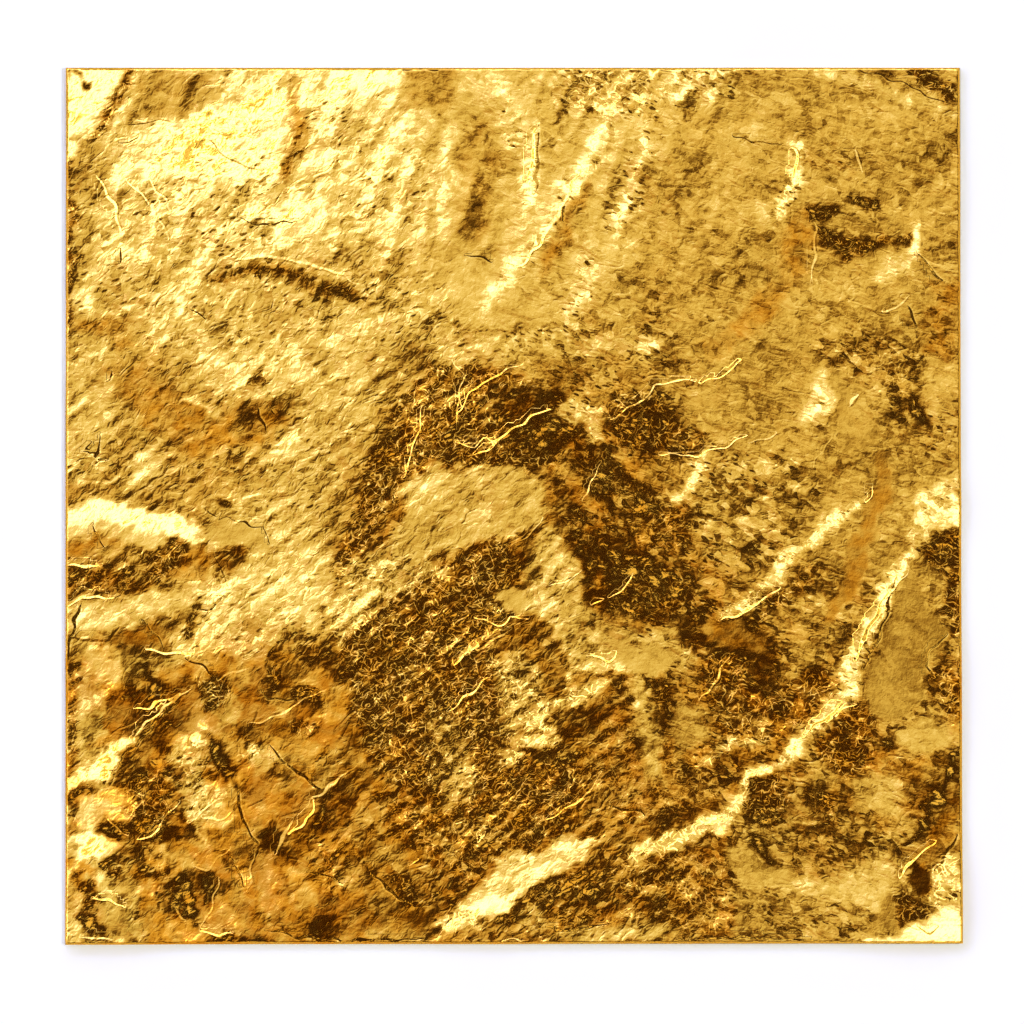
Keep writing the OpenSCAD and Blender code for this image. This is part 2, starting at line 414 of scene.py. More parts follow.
# The broad shapes round the middle arch
ARCH = (
    Facet(LIGHT, ((-10.5, -2.5), (-9.8, 1.5), (-7.4, 3.8), (-3, 3.4), (0.8, 3.9), (3.3, 1.3),
        (2.8, -1.5), (0.5, -2.5), (-4, -3.7), (-8, -5), (-14, -5.2), (-11.5, -3.5)), 0.35, 0.3),
    Facet(LIGHT, ((-17, -9), (-14.5, -5), (-8, -4.8), (-6, -6), (-12, -9), (-16, -13)), 0.6, 0.75),
    Facet(DARK, ((-1, 10.8), (3.8, 9.6), (7.1, 7.2), (9.3, 3.9), (12.2, 1.1), (16.2, -0.8), (16, -4.2),
        (13.8, -3.9), (10.9, -3), (7.6, 0.2), (5.2, 3.5), (2.4, 4.7), (-0.5, 5.6), (-2.4, 8.5)), 0.3, 0.75),
    Facet(DARK, ((4.3, 0), (7.4, -0.6), (9.4, -4.4), (13.8, -5.4), (16.4, -6.4), (19.2, -8.9),
        (16.6, -10.4), (13, -10.6), (9, -10), (7.1, -8.2), (5.7, -4.6)), 0.3, 0.75),
    Facet(SHADE, ((12.5, -1.5), (14.5, 0.2), (16, 0.2), (16.4, -3), (14.5, -4.4), (10, -4.2)), 0.4, 0.8),
    Facet(BROWN, ((-0.5, 10.5), (0.7, 10.9), (3.7, 10.8), (4, 9.4), (1.7, 8.6), (0, 7.6),
        (-3, 8.5)), 0.4, 0.6),
    Facet(RUSSET, ((3, 2.5), (3.6, 4.4), (5, 5.6), (6.3, 6.9), (6.4, 5), (5.8, 3), (4.2, 1)), 0.5, 0.7),
    Facet(RUSSET, ((5.8, -1.7), (8, 0.6), (10.5, 0.4), (11.9, -1.2), (8.5, -2.2)), 0.5, 0.55),
    Facet(RUSSET, ((7.5, -5.8), (8.5, -5.2), (8.8, -7), (8, -8.8), (7, -8)), 0.4, 0.6),
    Facet(LIGHT, ((3, 8.5), (5.7, 9.9), (8, 9.3), (7.9, 7.5), (7.5, 5.3), (6.4, 7.2),
        (4.6, 8.1)), 0.3, 0.7),
    Facet(LIGHT, ((2.8, -1.5), (5, -2.8), (5.4, -5), (6.4, -8.5), (8, -10.5), (12, -11.5), (16, -11.5),
        (18, -13.6), (14.5, -15.4), (9.4, -14.6), (5, -14.5), (3.5, -11), (1, -9.5), (1.5, -5.2)), 0.5, 0.6),
    Facet(LIGHT, ((-1.8, -7.8), (0.5, -7.6), (1.8, -8.6), (1.5, -9.7), (-1.5, -9.2)), 0.25, 0.08),
    Facet(LIGHT, ((9.2, -12.2), (12, -12.6), (15.3, -13.4), (14.2, -15.4), (10.5, -14.8),
        (8.3, -13.6)), 0.3, 0.1),
    Facet(PLAIN, ((0, -13), (2.5, -15.5), (3.5, -19), (0, -21.5), (-1.5, -19), (-1.5, -15)), 0.6, 0.8),
    Facet(BROWN, ((15.2, -9.7), (19, -10.9), (21.5, -10.2), (23.3, -11.3), (24, -13.2), (23.8, -17.3),
        (21.6, -16.9), (21, -13.9), (16.5, -13.2), (15, -11.5)), 0.3, 0.3),
    Facet(AMBER, ((16.4, -10.5), (18.5, -11), (20.5, -10.7), (22.2, -11.2), (23.2, -12.4), (22.6, -13.2),
        (21, -13.1), (19, -12.6), (17.2, -12.2)), 0.2, 0.15),
    Facet(DULL, ((-7.3, -18), (-5, -19.5), (-3.3, -24), (-3.8, -27.5), (-6, -27.5),
        (-7.6, -24)), 0.7, 0.75),
)

# The upper left: the white flap in the corner, the big white patch and the long pleats
UPPER_LEFT = (
    Facet(WHITE, ((-40.8, 38.7), (-39.6, 40.5), (-35.2, 40.5), (-36.4, 38), (-38, 36.4), (-39.4, 34),
        (-40.9, 34.5)), 0.3, 0.3),
    Fold(BLACK, 0.7, ((-41, 39.9), (-40.1, 40.1), (-38.6, 38.4))),
    Fold(BROWN, 1.1, ((-34.6, 40), (-36.4, 36.6), (-37.6, 34.8), (-39, 32.4), (-40.2, 30.8)), 0.3, 0.9),
    Facet(PLAIN, ((-39.6, 33), (-37.4, 34), (-36.4, 30), (-37.6, 28), (-40.4, 28)), 0.8, 0.4),
    Facet(WHITE, ((-40.9, 31.5), (-39.7, 31.8), (-39.5, 33.4), (-40.9, 33.3)), 0.25),
    Fold(BROWN, 0.8, ((-40.6, 31), (-40.5, 26), (-40.6, 21), (-40.5, 16)), 0.3, 0.9),
    Facet(DULL, ((-35, 35.6), (-33.6, 39.8), (-29, 40), (-26.5, 38), (-29.5, 35.4)), 0.6, 0.25),
    Facet(PALE, ((-38, 22), (-36.5, 30), (-31, 30.5), (-24, 29), (-19, 30), (-19, 24),
        (-26, 22)), 1.4, 0.5),
    Facet(WHITE, ((-30.5, 34), (-27.5, 36.5), (-25, 37.6), (-20.4, 38.6), (-20.3, 36), (-20.9, 33.5),
        (-21.6, 31), (-24, 29.4), (-27, 29.9), (-30, 30), (-33.5, 30.2), (-31, 33.2)), 0.5, 0.6),
    Facet(PALE, ((-28, 38.3), (-20, 40.2), (-19.8, 38.2), (-25, 37.3)), 0.5, 0.6),
    Fold(HONEY, 1.3, ((-20, 39.6), (-19.5, 36), (-19.8, 32.5), (-21.2, 29.5)), 0.4, 0.4),
    Facet(BRIGHT, ((-18.6, 30.5), (-18.8, 36), (-17.5, 38), (-15, 37), (-15.5, 31)), 0.8, 0.5),
    Facet(WHITE, ((-17.5, 38.4), (-16.8, 40.5), (-10.2, 40.5), (-10.8, 38.6), (-13.8, 37.8)), 0.4, 0.3),
    Fold(WHITE, 0.7, ((-24.8, 26.8), (-23, 26.3), (-20, 26.7), (-18, 27.8), (-17, 28.5))),
    Fold(PALE, 0.9, ((-28, 25.4), (-26.5, 26.6), (-25, 27.5))),
    Fold(BRIGHT, 0.7, ((-27.5, 23.4), (-25.5, 23.9), (-24, 23.6))),
    Fold(BROWN, 1.1, ((-27.6, 20.4), (-25, 21.3), (-22.5, 21.6), (-20, 20.9), (-17.5, 20), (-15, 19.2),
        (-11, 18.2)), 0.5, 0.7),
    Facet(BRIGHT, ((-40.5, 19.6), (-39, 20), (-37.3, 17.6), (-34.5, 19), (-34.8, 17.7),
        (-38, 16.6)), 0.5, 0.5),
    Fold(HONEY, 1.4, ((-40.5, 16.4), (-37, 16.4), (-34.5, 14.4)), 0.5, 0.35),
    Fold(BRIGHT, 0.8, ((-31, 19.6), (-29.4, 16), (-27.6, 13.6), (-24.6, 12.4)), 0.5),
    Facet(PALE, ((-30, 11.2), (-27, 10), (-24, 9.8), (-20.5, 10.3), (-15, 14), (-11, 18), (-14, 18),
        (-20, 13.5), (-27, 12)), 0.8, 0.4),
    Fold(BRIGHT, 0.8, ((-30.5, 9.9), (-28.4, 9.5), (-26.6, 8.4))),
    Facet(AMBER, ((-35, 10.6), (-31.6, 9.6), (-28.2, 9), (-26.2, 7.8), (-25.2, 8.8), (-21.8, 9.2),
        (-20.6, 8), (-22, 5.9), (-25.2, 5.3), (-30, 5.1), (-33.4, 6.8)), 0.5, 0.3),
    Facet(HONEY, ((-37.5, 12.6), (-33.6, 13.6), (-30.5, 10.2), (-34, 8.6)), 0.8, 0.3),
    Facet(BROWN, ((-25.2, 6.2), (-25.2, 8.6), (-24.3, 9.1), (-23.5, 8.7), (-24, 7.6),
        (-24.7, 6.5)), 0.15),
    Fold(BROWN, 0.8, ((-24.3, 11.6), (-23.3, 11.7), (-22.6, 12.1)), 0.3, 0.9),
)

# The left side under it: the white ridge and the dark pockets between pale facets
LEFT = (
    Facet(BLACK, ((-39.3, 3.5), (-38.8, 3.1), (-38.2, 3.3), (-38.9, 2.3)), 0.15),
    Facet(LIGHT, ((-38.2, 4.2), (-36.2, 4.4), (-36.4, 3.6), (-37.8, 3.2), (-39.6, 2), (-41, 2.6),
        (-41, 4)), 0.5, 0.7),
    Facet(PALE, ((-35, 5), (-32.5, 4.6), (-31.4, 3), (-33.6, 1.8), (-35.4, 1.4)), 0.6, 0.35),
    Fold(BRIGHT, 0.8, ((-34.3, 4.8), (-33, 4.2), (-34.8, 2.2))),
    Facet(WHITE, ((-41, -1.9), (-41, -0.4), (-39.4, 0.4), (-38.3, 1), (-36.8, 0.9), (-35.2, 0),
        (-33, -0.6), (-30.4, -0.9), (-28.2, -1.7), (-29, -2.9), (-32, -2.9), (-34.4, -2.1),
        (-37, -1.5)), 0.35, 0.25),
    Facet(PALE, ((-41, -2.9), (-41, -1.8), (-37, -1.3), (-34, -2), (-31.5, -2.8), (-33.5, -3.6),
        (-37.6, -2.4)), 0.3, 0.2),
    Facet(LIGHT, ((-28, -1.6), (-24, -1.5), (-22.5, -2.2), (-22, -3.9), (-24.5, -3.7),
        (-27.6, -3.4)), 0.3, 0.1),
    Facet(BLACK, ((-26.9, 0.8), (-26.2, 0.7), (-25.4, 0.1), (-26.8, 0)), 0.2),
    Facet(AMBER, ((-41, -3.1), (-38, -2.9), (-36.4, -3.3), (-37.6, -4.2), (-41, -4.7)), 0.3, 0.2),
    Facet(BROWN, ((-41, -5.9), (-38.5, -5.9), (-36.4, -5.6), (-34.6, -6.1), (-35.4, -7.6), (-38.2, -8),
        (-41, -8.2)), 0.4, 0.8),
    Facet(BROWN, ((-34.2, -4.6), (-32.6, -3.7), (-30.4, -3.1), (-29.2, -3), (-29.8, -5.6), (-31.6, -6.9),
        (-33.8, -7.2)), 0.4, 0.9),
    Facet(AMBER, ((-29.6, -3.6), (-28.2, -3.6), (-27.2, -5.6), (-26.8, -6.6), (-28.6, -6.8),
        (-31, -6.4)), 0.3, 0.25),
    Facet(BROWN, ((-27.4, -4.1), (-26, -3.6), (-24.2, -4.1), (-25.6, -5.2), (-26.2, -7.3),
        (-26.9, -5.6)), 0.2),
    Fold(RUSSET, 1.2, ((-35.2, -7.4), (-33.6, -7.4), (-32.4, -6.9))),
    Facet(PALE, ((-39.4, -8.9), (-36.4, -8.9), (-33, -7.8), (-30, -8), (-29.4, -9.6), (-34, -10),
        (-35.8, -11), (-40.2, -11.8)), 0.35, 0.3),
    Facet(AMBER, ((-35.4, -11.2), (-33.2, -10.6), (-31.4, -11.8), (-31.2, -13), (-35.4, -12.9),
        (-37.6, -12.2)), 0.25, 0.1),
    Fold(BLACK, 0.7, ((-28.4, -9.2), (-29.2, -10.6), (-29.6, -12.4)), 0.3, 0.9),
    Facet(PLAIN, ((-39.6, -13), (-34.6, -13.2), (-34, -15.6), (-36.6, -16.2),
        (-39.8, -15.2)), 0.3, 0.25),
    Facet(AMBER, ((-39.9, -14.4), (-36.8, -16.2), (-33.6, -16.9), (-32.4, -18.2),
        (-37.6, -17.4)), 0.35, 0.3),
    Facet(PLAIN, ((-39, -17), (-36.8, -17.7), (-33.4, -18.3), (-34.2, -20.2), (-37.4, -20.8),
        (-39.2, -20)), 0.3, 0.25),
    Fold(BROWN, 1.2, ((-40.4, -14.6), (-40.3, -18), (-40.4, -21.6), (-40.3, -25)), 0.3, 0.8),
    Fold(BLACK, 0.7, ((-33.6, -14.4), (-33, -16), (-32.4, -17.6)), 0.25),
    Fold(AMBER, 1.1, ((-38.6, -22), (-36.4, -21.2), (-34.6, -20.6)), 0.4),
    Fold(WHITE, 1.3, ((-40.9, -25.6), (-38.6, -24.6), (-36.6, -22.8), (-34.6, -21.4))),
    Facet(WHITE, ((-41, -25.9), (-39.8, -25.4), (-38, -25), (-37.2, -24.3), (-38.6, -24.2),
        (-41, -25.1)), 0.2),
)

# The lower left, in gold turned amber by painted shade, with sharp small facets
LOWER_LEFT = (
    Facet(BROWN, ((-36, -25.4), (-33, -24), (-30.6, -22.2), (-31.4, -24.6), (-31.2, -27.6), (-32, -30.2),
        (-34.4, -30)), 0.6, 0.9),
    Facet(LIGHT, ((-30.8, -21.4), (-28.6, -20.8), (-27.4, -22.4), (-26.2, -24.8), (-27, -27.6),
        (-29.6, -28.4), (-31, -25.8)), 0.5, 0.7),
    Facet(PLAIN, ((-31, -18.3), (-28.8, -17.6), (-28, -19.6), (-28.8, -20.6), (-31, -21.4)), 0.25, 0.2),
    Facet(WHITE, ((-28.8, -20.3), (-27.8, -20.1), (-27.3, -20.6), (-27.9, -20.8)), 0.12),
    Fold(BROWN, 2.0, ((-28.6, -16.2), (-27, -16.8), (-27.6, -18.6)), 0.5, 1.0),
    Fold(BLACK, 0.9, ((-27.8, -20.9), (-27, -22.6), (-25.8, -24), (-25.2, -26)), 0.25),
    Fold(BROWN, 1.0, ((-22.4, -15), (-21.6, -16.4)), 0.35, 0.9),
    Facet(BRIGHT, ((-21.8, -18.9), (-20.6, -18.4), (-20.2, -18.8), (-21, -19.5)), 0.2),
    Fold(BROWN, 1.4, ((-19.6, -16.4), (-18.4, -17.2), (-17.8, -18.2)), 0.4, 0.9),
    Fold(BROWN, 1.6, ((-19.6, -19.8), (-18.4, -20.6)), 0.5, 0.9),
    Facet(LIGHT, ((-24.4, -21.4), (-22.4, -21.2), (-22.8, -23), (-25.2, -23.4)), 0.4, 0.8),
    Facet(HONEY, ((-18, -22.6), (-16, -22), (-15.6, -23.2), (-17.6, -23.6)), 0.4, 0.5),
    Facet(BLACK, ((-18.1, -27.2), (-17.3, -28.2), (-17.1, -29.6), (-18.3, -29)), 0.2),
    Fold(RUSSET, 2.2, ((-18, -30.6), (-17, -33), (-16.6, -35.6)), 0.8, 0.8),
    Facet(AMBER, ((-33.6, -30.6), (-31.4, -31), (-29.8, -32.2), (-31.4, -32.4)), 0.3, 0.2),
    Facet(BROWN, ((-33.8, -31), (-31.4, -32.2), (-30.2, -34.6), (-28.6, -38.4), (-30.6, -37.6),
        (-33, -34.4)), 0.5, 0.7),
    Fold(BLACK, 1.1, ((-30.6, -33.4), (-29.6, -36), (-28.8, -38.6)), 0.3),
    Fold(BLACK, 0.8, ((-28.4, -34.2), (-27.4, -36.4)), 0.3),
    Fold(BLACK, 0.7, ((-28.4, -39.6), (-24.6, -39.6), (-22.4, -39.7)), 0.2),
    Facet(BROWN, ((-12, -33.4), (-9, -34), (-8.4, -36.2), (-9.6, -36.6)), 0.5, 0.9),
    Facet(RUSSET, ((-10, -36.8), (-7.4, -37), (-7, -39), (-9.4, -38.8)), 0.7, 0.1),
    Facet(WHITE, ((-40.6, -30.2), (-39.2, -29.6), (-35.9, -30.1), (-35.6, -30.9), (-36.8, -31.6),
        (-38.8, -32.4), (-40, -32.3), (-38.8, -31)), 0.3, 0.25),
    Fold(BRIGHT, 0.7, ((-41, -34.2), (-40.2, -33), (-39.4, -32.4)), 0.2),
    Facet(BROWN, ((-39.2, -32.7), (-37.4, -32.4), (-35.4, -31.8), (-35.6, -33.4),
        (-37.6, -33.9)), 0.35, 0.8),
    Facet(BRIGHT, ((-38.6, -34.3), (-36.4, -34.2), (-34.6, -34), (-35, -35.2), (-37.2, -35.5),
        (-38.2, -35.1)), 0.4, 0.25),
    Fold(BLACK, 0.9, ((-39.8, -33.4), (-39, -34.8), (-38.6, -36), (-39.6, -37.6)), 0.25, 0.7),
    Facet(BLACK, ((-38.6, -37.4), (-37.4, -37.2), (-36.8, -38.6), (-37, -39.4), (-38.4, -38.9),
        (-39.2, -38)), 0.25, 0.6),
    Facet(LIGHT, ((-37.8, -37), (-35.4, -36.8), (-34, -38.4), (-34.8, -39.8), (-36.6, -39.4)), 0.3, 0.2),
    Facet(BROWN, ((-41, -26.2), (-39.6, -26), (-38, -26.4), (-38.8, -29.4), (-41, -30)), 0.5, 0.6),
    Facet(PLAIN, ((-39.6, -27), (-38.2, -26.8), (-37.4, -28.4), (-38.2, -29.8),
        (-39.8, -29.4)), 0.3, 0.25),
    Fold(HONEY, 0.8, ((-37.8, -26), (-37, -27.6), (-36.6, -28.8)), 0.25, 0.15),
    Facet(BROWN, ((-37.5, -28.6), (-36.6, -28.9), (-34.6, -30.1), (-36.2, -30.3),
        (-37.6, -29.8)), 0.2, 0.4),
)

# The top middle and the top right: pleats that hang from the upper edge, then finely rippled foil
TOP = (
    Facet(DULL, ((-10, 36), (-9.5, 40), (-5, 40), (-5.2, 36.5)), 0.7, 0.25),
    Facet(PALE, ((-14.5, 24), (-13.5, 35), (-8, 36), (-7.6, 25)), 1.2, 0.55),
    Fold(BRIGHT, 1.6, ((-5.2, 36.4), (-6, 33), (-6, 29), (-6.6, 24.6)), 0.5, 0.45),
    Fold(DULL, 3.4, ((-2.8, 35), (-3, 30), (-3.4, 24.6)), 0.8, 0.3),
    Fold(PALE, 1.6, ((-1.4, 39), (0, 36), (0.2, 33)), 0.6, 0.5),
    Fold(BRIGHT, 1.2, ((1.9, 35), (1.7, 32), (1.5, 29.4), (1.1, 26)), 0.4, 0.5),
    Fold(BRIGHT, 1.5, ((8.6, 37), (8, 34), (7.4, 32), (6, 30.8), (4.9, 28.8), (4, 26.6), (2.8, 24.6),
        (0.8, 22.2), (-1, 20.4), (-3, 17.6)), 0.6, 0.6),
    Fold(HONEY, 1.4, ((6.8, 29.4), (5.4, 27), (4.2, 24.2), (2.8, 21.4)), 0.5, 0.3),
    Fold(PALE, 2.4, ((12.4, 33.6), (11, 30.4), (10.4, 27.6), (8.6, 24.6), (7, 21.4), (5.6, 17.8),
        (5, 15.6)), 0.8, 0.55),
    Facet(PLAIN, ((4, 36), (5, 40), (13.4, 40.4), (12.4, 35.6), (8, 35.2)), 0.8, 0.8),
    Fold(WHITE, 0.8, ((12, 39.8), (13.2, 40))),
    Fold(PLAIN, 3.4, ((12.8, 27), (11.4, 22), (10, 17)), 1.2, 0.25),
    Facet(LIGHT, ((7, 26), (11, 25), (11, 17), (7.4, 17)), 1.2, 0.3),
    Facet(PALE, ((13, 36.6), (13.6, 40.4), (20, 40.4), (20.6, 37.4)), 0.7, 0.7),
    Facet(LIGHT, ((-14, 20), (-6, 19.6), (-4, 16), (13, 16), (14, 13.4), (-10, 13.6)), 0.9, 0.6),
    Fold(PALE, 1.1, ((27, 39.8), (31, 39.2), (35, 37.6), (38, 36.4), (40.6, 35.6)), 0.4, 0.35),
    Facet(DARK, ((35.8, 40.3), (38, 39.9), (40, 38.6), (40.8, 36.6), (39.4, 36.9), (38, 38.2),
        (36.6, 39)), 0.3, 0.95),
    Facet(BRIGHT, ((39.4, 40.3), (41, 40.3), (41, 38.8)), 0.2),
    Fold(BRIGHT, 1.4, ((25.6, 33.4), (26.1, 31.6), (25.6, 30), (24.9, 28.2), (23.7, 26.2)), 0.4, 0.8),
    Fold(PALE, 0.9, ((22.3, 28.2), (23.6, 25.2)), 0.35),
    Fold(DULL, 0.8, ((26.4, 32.2), (29, 31.2), (31.4, 30.3)), 0.35, 0.5),
    Facet(HONEY, ((25.2, 26.8), (27.1, 27.3), (27.2, 24), (27, 21.4), (25.2, 19.4), (22, 15.6),
        (18, 13.4), (17.4, 14.6), (21, 17.2), (23.6, 20.2), (24.6, 23.4)), 0.5, 0.25),
    Facet(BLACK, ((26.6, 27.6), (28.2, 28), (29.8, 27.2), (28.6, 26.6), (27.6, 25.8),
        (27.2, 26.4)), 0.25, 0.8),
    Fold(BLACK, 0.8, ((30.4, 27.6), (31.6, 28.1), (33, 27.4)), 0.25, 0.8),
    Facet(DARK, ((27.4, 25.2), (29.6, 24.7), (32, 24.8), (33.4, 23.9), (31.4, 22.8), (30.4, 22),
        (29.6, 23.2), (27.6, 23.9)), 0.3, 0.9),
    Fold(BROWN, 0.8, ((33, 24.2), (34.6, 24.1), (36.4, 24.6)), 0.25, 0.8),
    Fold(WHITE, 0.9, ((37.2, 25.2), (36.6, 23.8), (36.2, 22.4)), 0.2),
    Facet(PALE, ((36.4, 23.4), (34.4, 22.8), (32.2, 20.8), (34, 20.4), (36.6, 21.6)), 0.4, 0.45),
    Facet(DULL, ((28, 15), (31, 15.6), (36.6, 13.8), (37, 9.6), (39.6, 6.4), (37.8, 5.6), (35, 9),
        (32.4, 12.4), (29.4, 12.6)), 1.2, 0.75),
    Facet(HONEY, ((37.6, 14), (38.4, 20.4), (40.9, 20.6), (40.9, 13)), 0.8, 0.35),
    Facet(BLACK, ((36.3, 9.8), (37.2, 9.2), (38.4, 7.8), (37.8, 6.8), (36.7, 8.2)), 0.25, 0.5),
)

# The right side and the bottom right: long bright ridges, a smooth panel and the turned up corner
RIGHT = (
    Fold(BRIGHT, 1.9, ((28.4, 12), (28.2, 9.6), (27, 7.4)), 0.6, 0.4),
    Facet(PLAIN, ((29.4, 12.4), (31.4, 10), (33.2, 6.6), (32.4, 5), (30, 5), (29.2, 8.6)), 0.5, 0.1),
    Facet(PLAIN, ((16, 4), (24, 5), (28, 2), (24, -4), (18, -5), (16.6, 0)), 1.0, 0.62),
    Fold(HONEY, 1.9, ((33.6, 4.6), (33.8, 2.4), (33.3, 0), (31.6, -3.4), (31.1, -6.4),
        (29.2, -10)), 0.25, 0.08),
    Facet(BRIGHT, ((32.6, 1.5), (31.6, 0.2), (30.4, -0.6), (29.6, -2.4), (26.6, -4), (24.8, -6.8),
        (22.6, -9), (19.4, -10.6), (18.6, -10.3), (21.4, -8.2), (23.4, -5.8), (25.6, -3.6),
        (28.6, -1)), 0.35, 0.8),
    Fold(SHADE, 1.4, ((27.6, -6.2), (25, -8), (22, -10)), 0.6, 0.9),
    Facet(PLAIN, ((33.6, -4.6), (36, -5), (37, -7.4), (39.4, -9.6), (39.6, -12), (38, -14.4),
        (37.4, -18), (35, -19.6), (32.4, -19), (31.6, -17), (33.4, -12.6), (34.6, -9)), 0.3, 0.06),
    Facet(BRIGHT, ((36.4, 0.4), (37, 1.2), (39.4, 2.2), (41, 2.2), (41, -2.2), (38.8, -2.6),
        (37.4, -3.6), (36, -2.6), (36.8, -1)), 0.3, 0.7),
    Fold(WHITE, 0.9, ((40.8, 1.6), (40.6, 0), (40.8, -2)), 0.25),
    Facet(BROWN, ((37.2, -3.6), (38.8, -2.6), (41, -2.4), (41, -5.4), (39.2, -5.6),
        (38, -4.8)), 0.25, 0.9),
    Fold(BROWN, 1.4, ((40.4, -4), (40.1, -8), (40.4, -12.6)), 0.35, 0.9),
    Facet(RUSSET, ((39, -14.4), (41, -13.4), (41, -20.6), (40, -19.6), (39, -18), (38, -16)), 0.35, 0.85),
    Fold(BRIGHT, 1.3, ((36.8, -3.5), (35.3, -5.2), (34.3, -7.7), (33.3, -9.6), (32.2, -11.8),
        (31.4, -14), (30.8, -15.4), (30.6, -17), (29.2, -18.6), (27.2, -20.3), (25.4, -22.3),
        (23.6, -23.6)), 0.3, 0.75),
    Fold(BRIGHT, 1.6, ((33.8, -8.6), (32.4, -11.2), (30.8, -13.6), (30.4, -16)), 0.4, 0.7),
    Fold(BRIGHT, 0.9, ((23.8, -23.4), (22, -24.6), (20.6, -26)), 0.3, 0.9),
    Fold(BRIGHT, 1.6, ((20.8, -27), (19, -28.6), (16.4, -29.8), (13.4, -30.6), (10.6, -32)), 0.5, 0.95),
    Fold(PALE, 0.7, ((23.4, -21), (21, -21.6), (18.6, -22.2), (17.4, -23.8)), 0.3, 0.9),
    Facet(PALE, ((30.2, -33.6), (34.4, -31.6), (35, -35.2), (34, -37.6), (30, -36), (20, -34),
        (21, -31.6), (24, -33.4)), 0.5, 0.3),
    Facet(LIGHT, ((19.6, -30.8), (21.6, -31.6), (23.6, -33.2), (25.6, -34.6), (22, -34.8),
        (19.8, -33)), 0.3, 0.2),
    Facet(BLACK, ((21.4, -30.2), (23, -31.2), (24, -33), (22.6, -32.2)), 0.2),
    Facet(DULL, ((24.4, -31), (26, -29.4), (33, -27), (33.6, -30.6), (30, -33.4),
        (25.2, -34)), 0.5, 0.45),
    Fold(BROWN, 1.2, ((26.4, -25.4), (28.4, -26.6), (29.6, -28.6)), 0.5, 0.9),
    Facet(LIGHT, ((30.6, -24.4), (35, -23.8), (35.6, -28.4), (31.6, -27.4)), 0.7, 0.3),
    Facet(LIGHT, ((34.8, -20.6), (38, -19.4), (40.8, -20.8), (39.8, -22), (36.4, -22.6),
        (34.4, -21.6)), 0.3, 0.2),
    Fold(BLACK, 0.7, ((34, -21.4), (35, -22.4)), 0.2, 0.6),
    Fold(BLACK, 0.7, ((40.6, -22.8), (39.4, -25), (38, -27.8), (36.6, -30), (35.2, -32)), 0.3, 0.6),
    Facet(AMBER, ((39.8, -26), (41, -25.4), (41, -29.6), (38.6, -32.4), (37, -33.6), (36.4, -32.6),
        (38, -29.6)), 0.4, 0.25),
    Facet(BROWN, ((35.4, -34), (36.6, -33), (38.4, -33.2), (37.8, -35.4), (36.4, -35)), 0.2, 0.1),
    Facet(PALE, ((38.6, -33), (40.4, -30.8), (41.1, -30.6), (41.1, -36.2), (39, -36.6),
        (38, -34.8)), 0.3, 0.9),
    Facet(BROWN, ((35.2, -35.2), (38, -36.2), (38, -37.6), (35, -38.4)), 0.3, 0.9),
    Facet(PLAIN, ((33.4, -36.4), (35.2, -34.8), (34.6, -38.6), (33.2, -38.2)), 0.2, 0.1),
    Facet(WHITE, ((31, -40.3), (34, -39), (37, -38), (39.4, -36.6), (41.2, -36.1),
        (41.2, -40.3)), 0.3, 0.25),
    Facet(BRIGHT, ((-3, -38), (-5.2, -36.4), (-3.4, -34.6), (-1.4, -32.4), (1, -31.6), (3.6, -31),
        (4.6, -30.1), (8.2, -30.2), (6.8, -31.6), (4.6, -33.4), (1.6, -35), (-0.6, -36.8)), 0.25, 0.4),
    Facet(WHITE, ((-3, -38.2), (-3.6, -36.4), (-1.8, -35.4), (0.4, -36), (-1, -37.2)), 0.3, 0.2),
    Fold(BRIGHT, 2.0, ((-3.2, -37.8), (-5.2, -37.8), (-6.6, -38.2)), 0.6, 1.0),
    Facet(LIGHT, ((4, -38.9), (9, -38.6), (13.4, -37.4), (15, -38.6), (13, -39.8),
        (6, -40.2)), 0.4, 0.35),
    Facet(PLAIN, ((0.6, -36.4), (2.2, -35.8), (2.6, -37.6), (1, -39)), 0.4, 0.5),
)

# The wider ridges and facets of the middle
MIDDLE = (
    Fold(BRIGHT, 0.9, ((17.6, 4.6), (16.6, 3), (16.2, 1.4), (14.4, 0.4)), 0.3, 0.8),
    Facet(BLACK, ((-2.7, -9.4), (-1.7, -8.9), (-0.7, -9.3), (-0.6, -9.9), (-1.9, -10.2)), 0.15),
    Fold(BRIGHT, 0.9, ((-1.4, -23.1), (0.6, -22), (2.6, -21.2), (3.8, -21)), 0.35, 0.95),
    Fold(PALE, 1.4, ((1.8, -20), (3.8, -18.4), (5.6, -17.6), (7.4, -16.8), (8.8, -16.2)), 0.5, 0.95),
    Fold(BRIGHT, 0.7, ((5, -15.4), (6.6, -14.8), (9, -14.6), (10.6, -15.2)), 0.25, 0.8),
    Facet(LIGHT, ((10.8, -15.3), (12.2, -15.2), (12.4, -17.6), (13.8, -20.4), (13.4, -26), (12, -24),
        (11, -19)), 0.5, 0.45),
    Facet(PLAIN, ((14.8, -17.6), (17.4, -18.4), (17.8, -21), (15, -22.4), (14, -20)), 0.5, 0.25),
    Facet(HONEY, ((5.2, -28.6), (7, -26.6), (9, -28.4), (9.6, -29.4), (6, -29.8)), 0.5, 0.5),
)

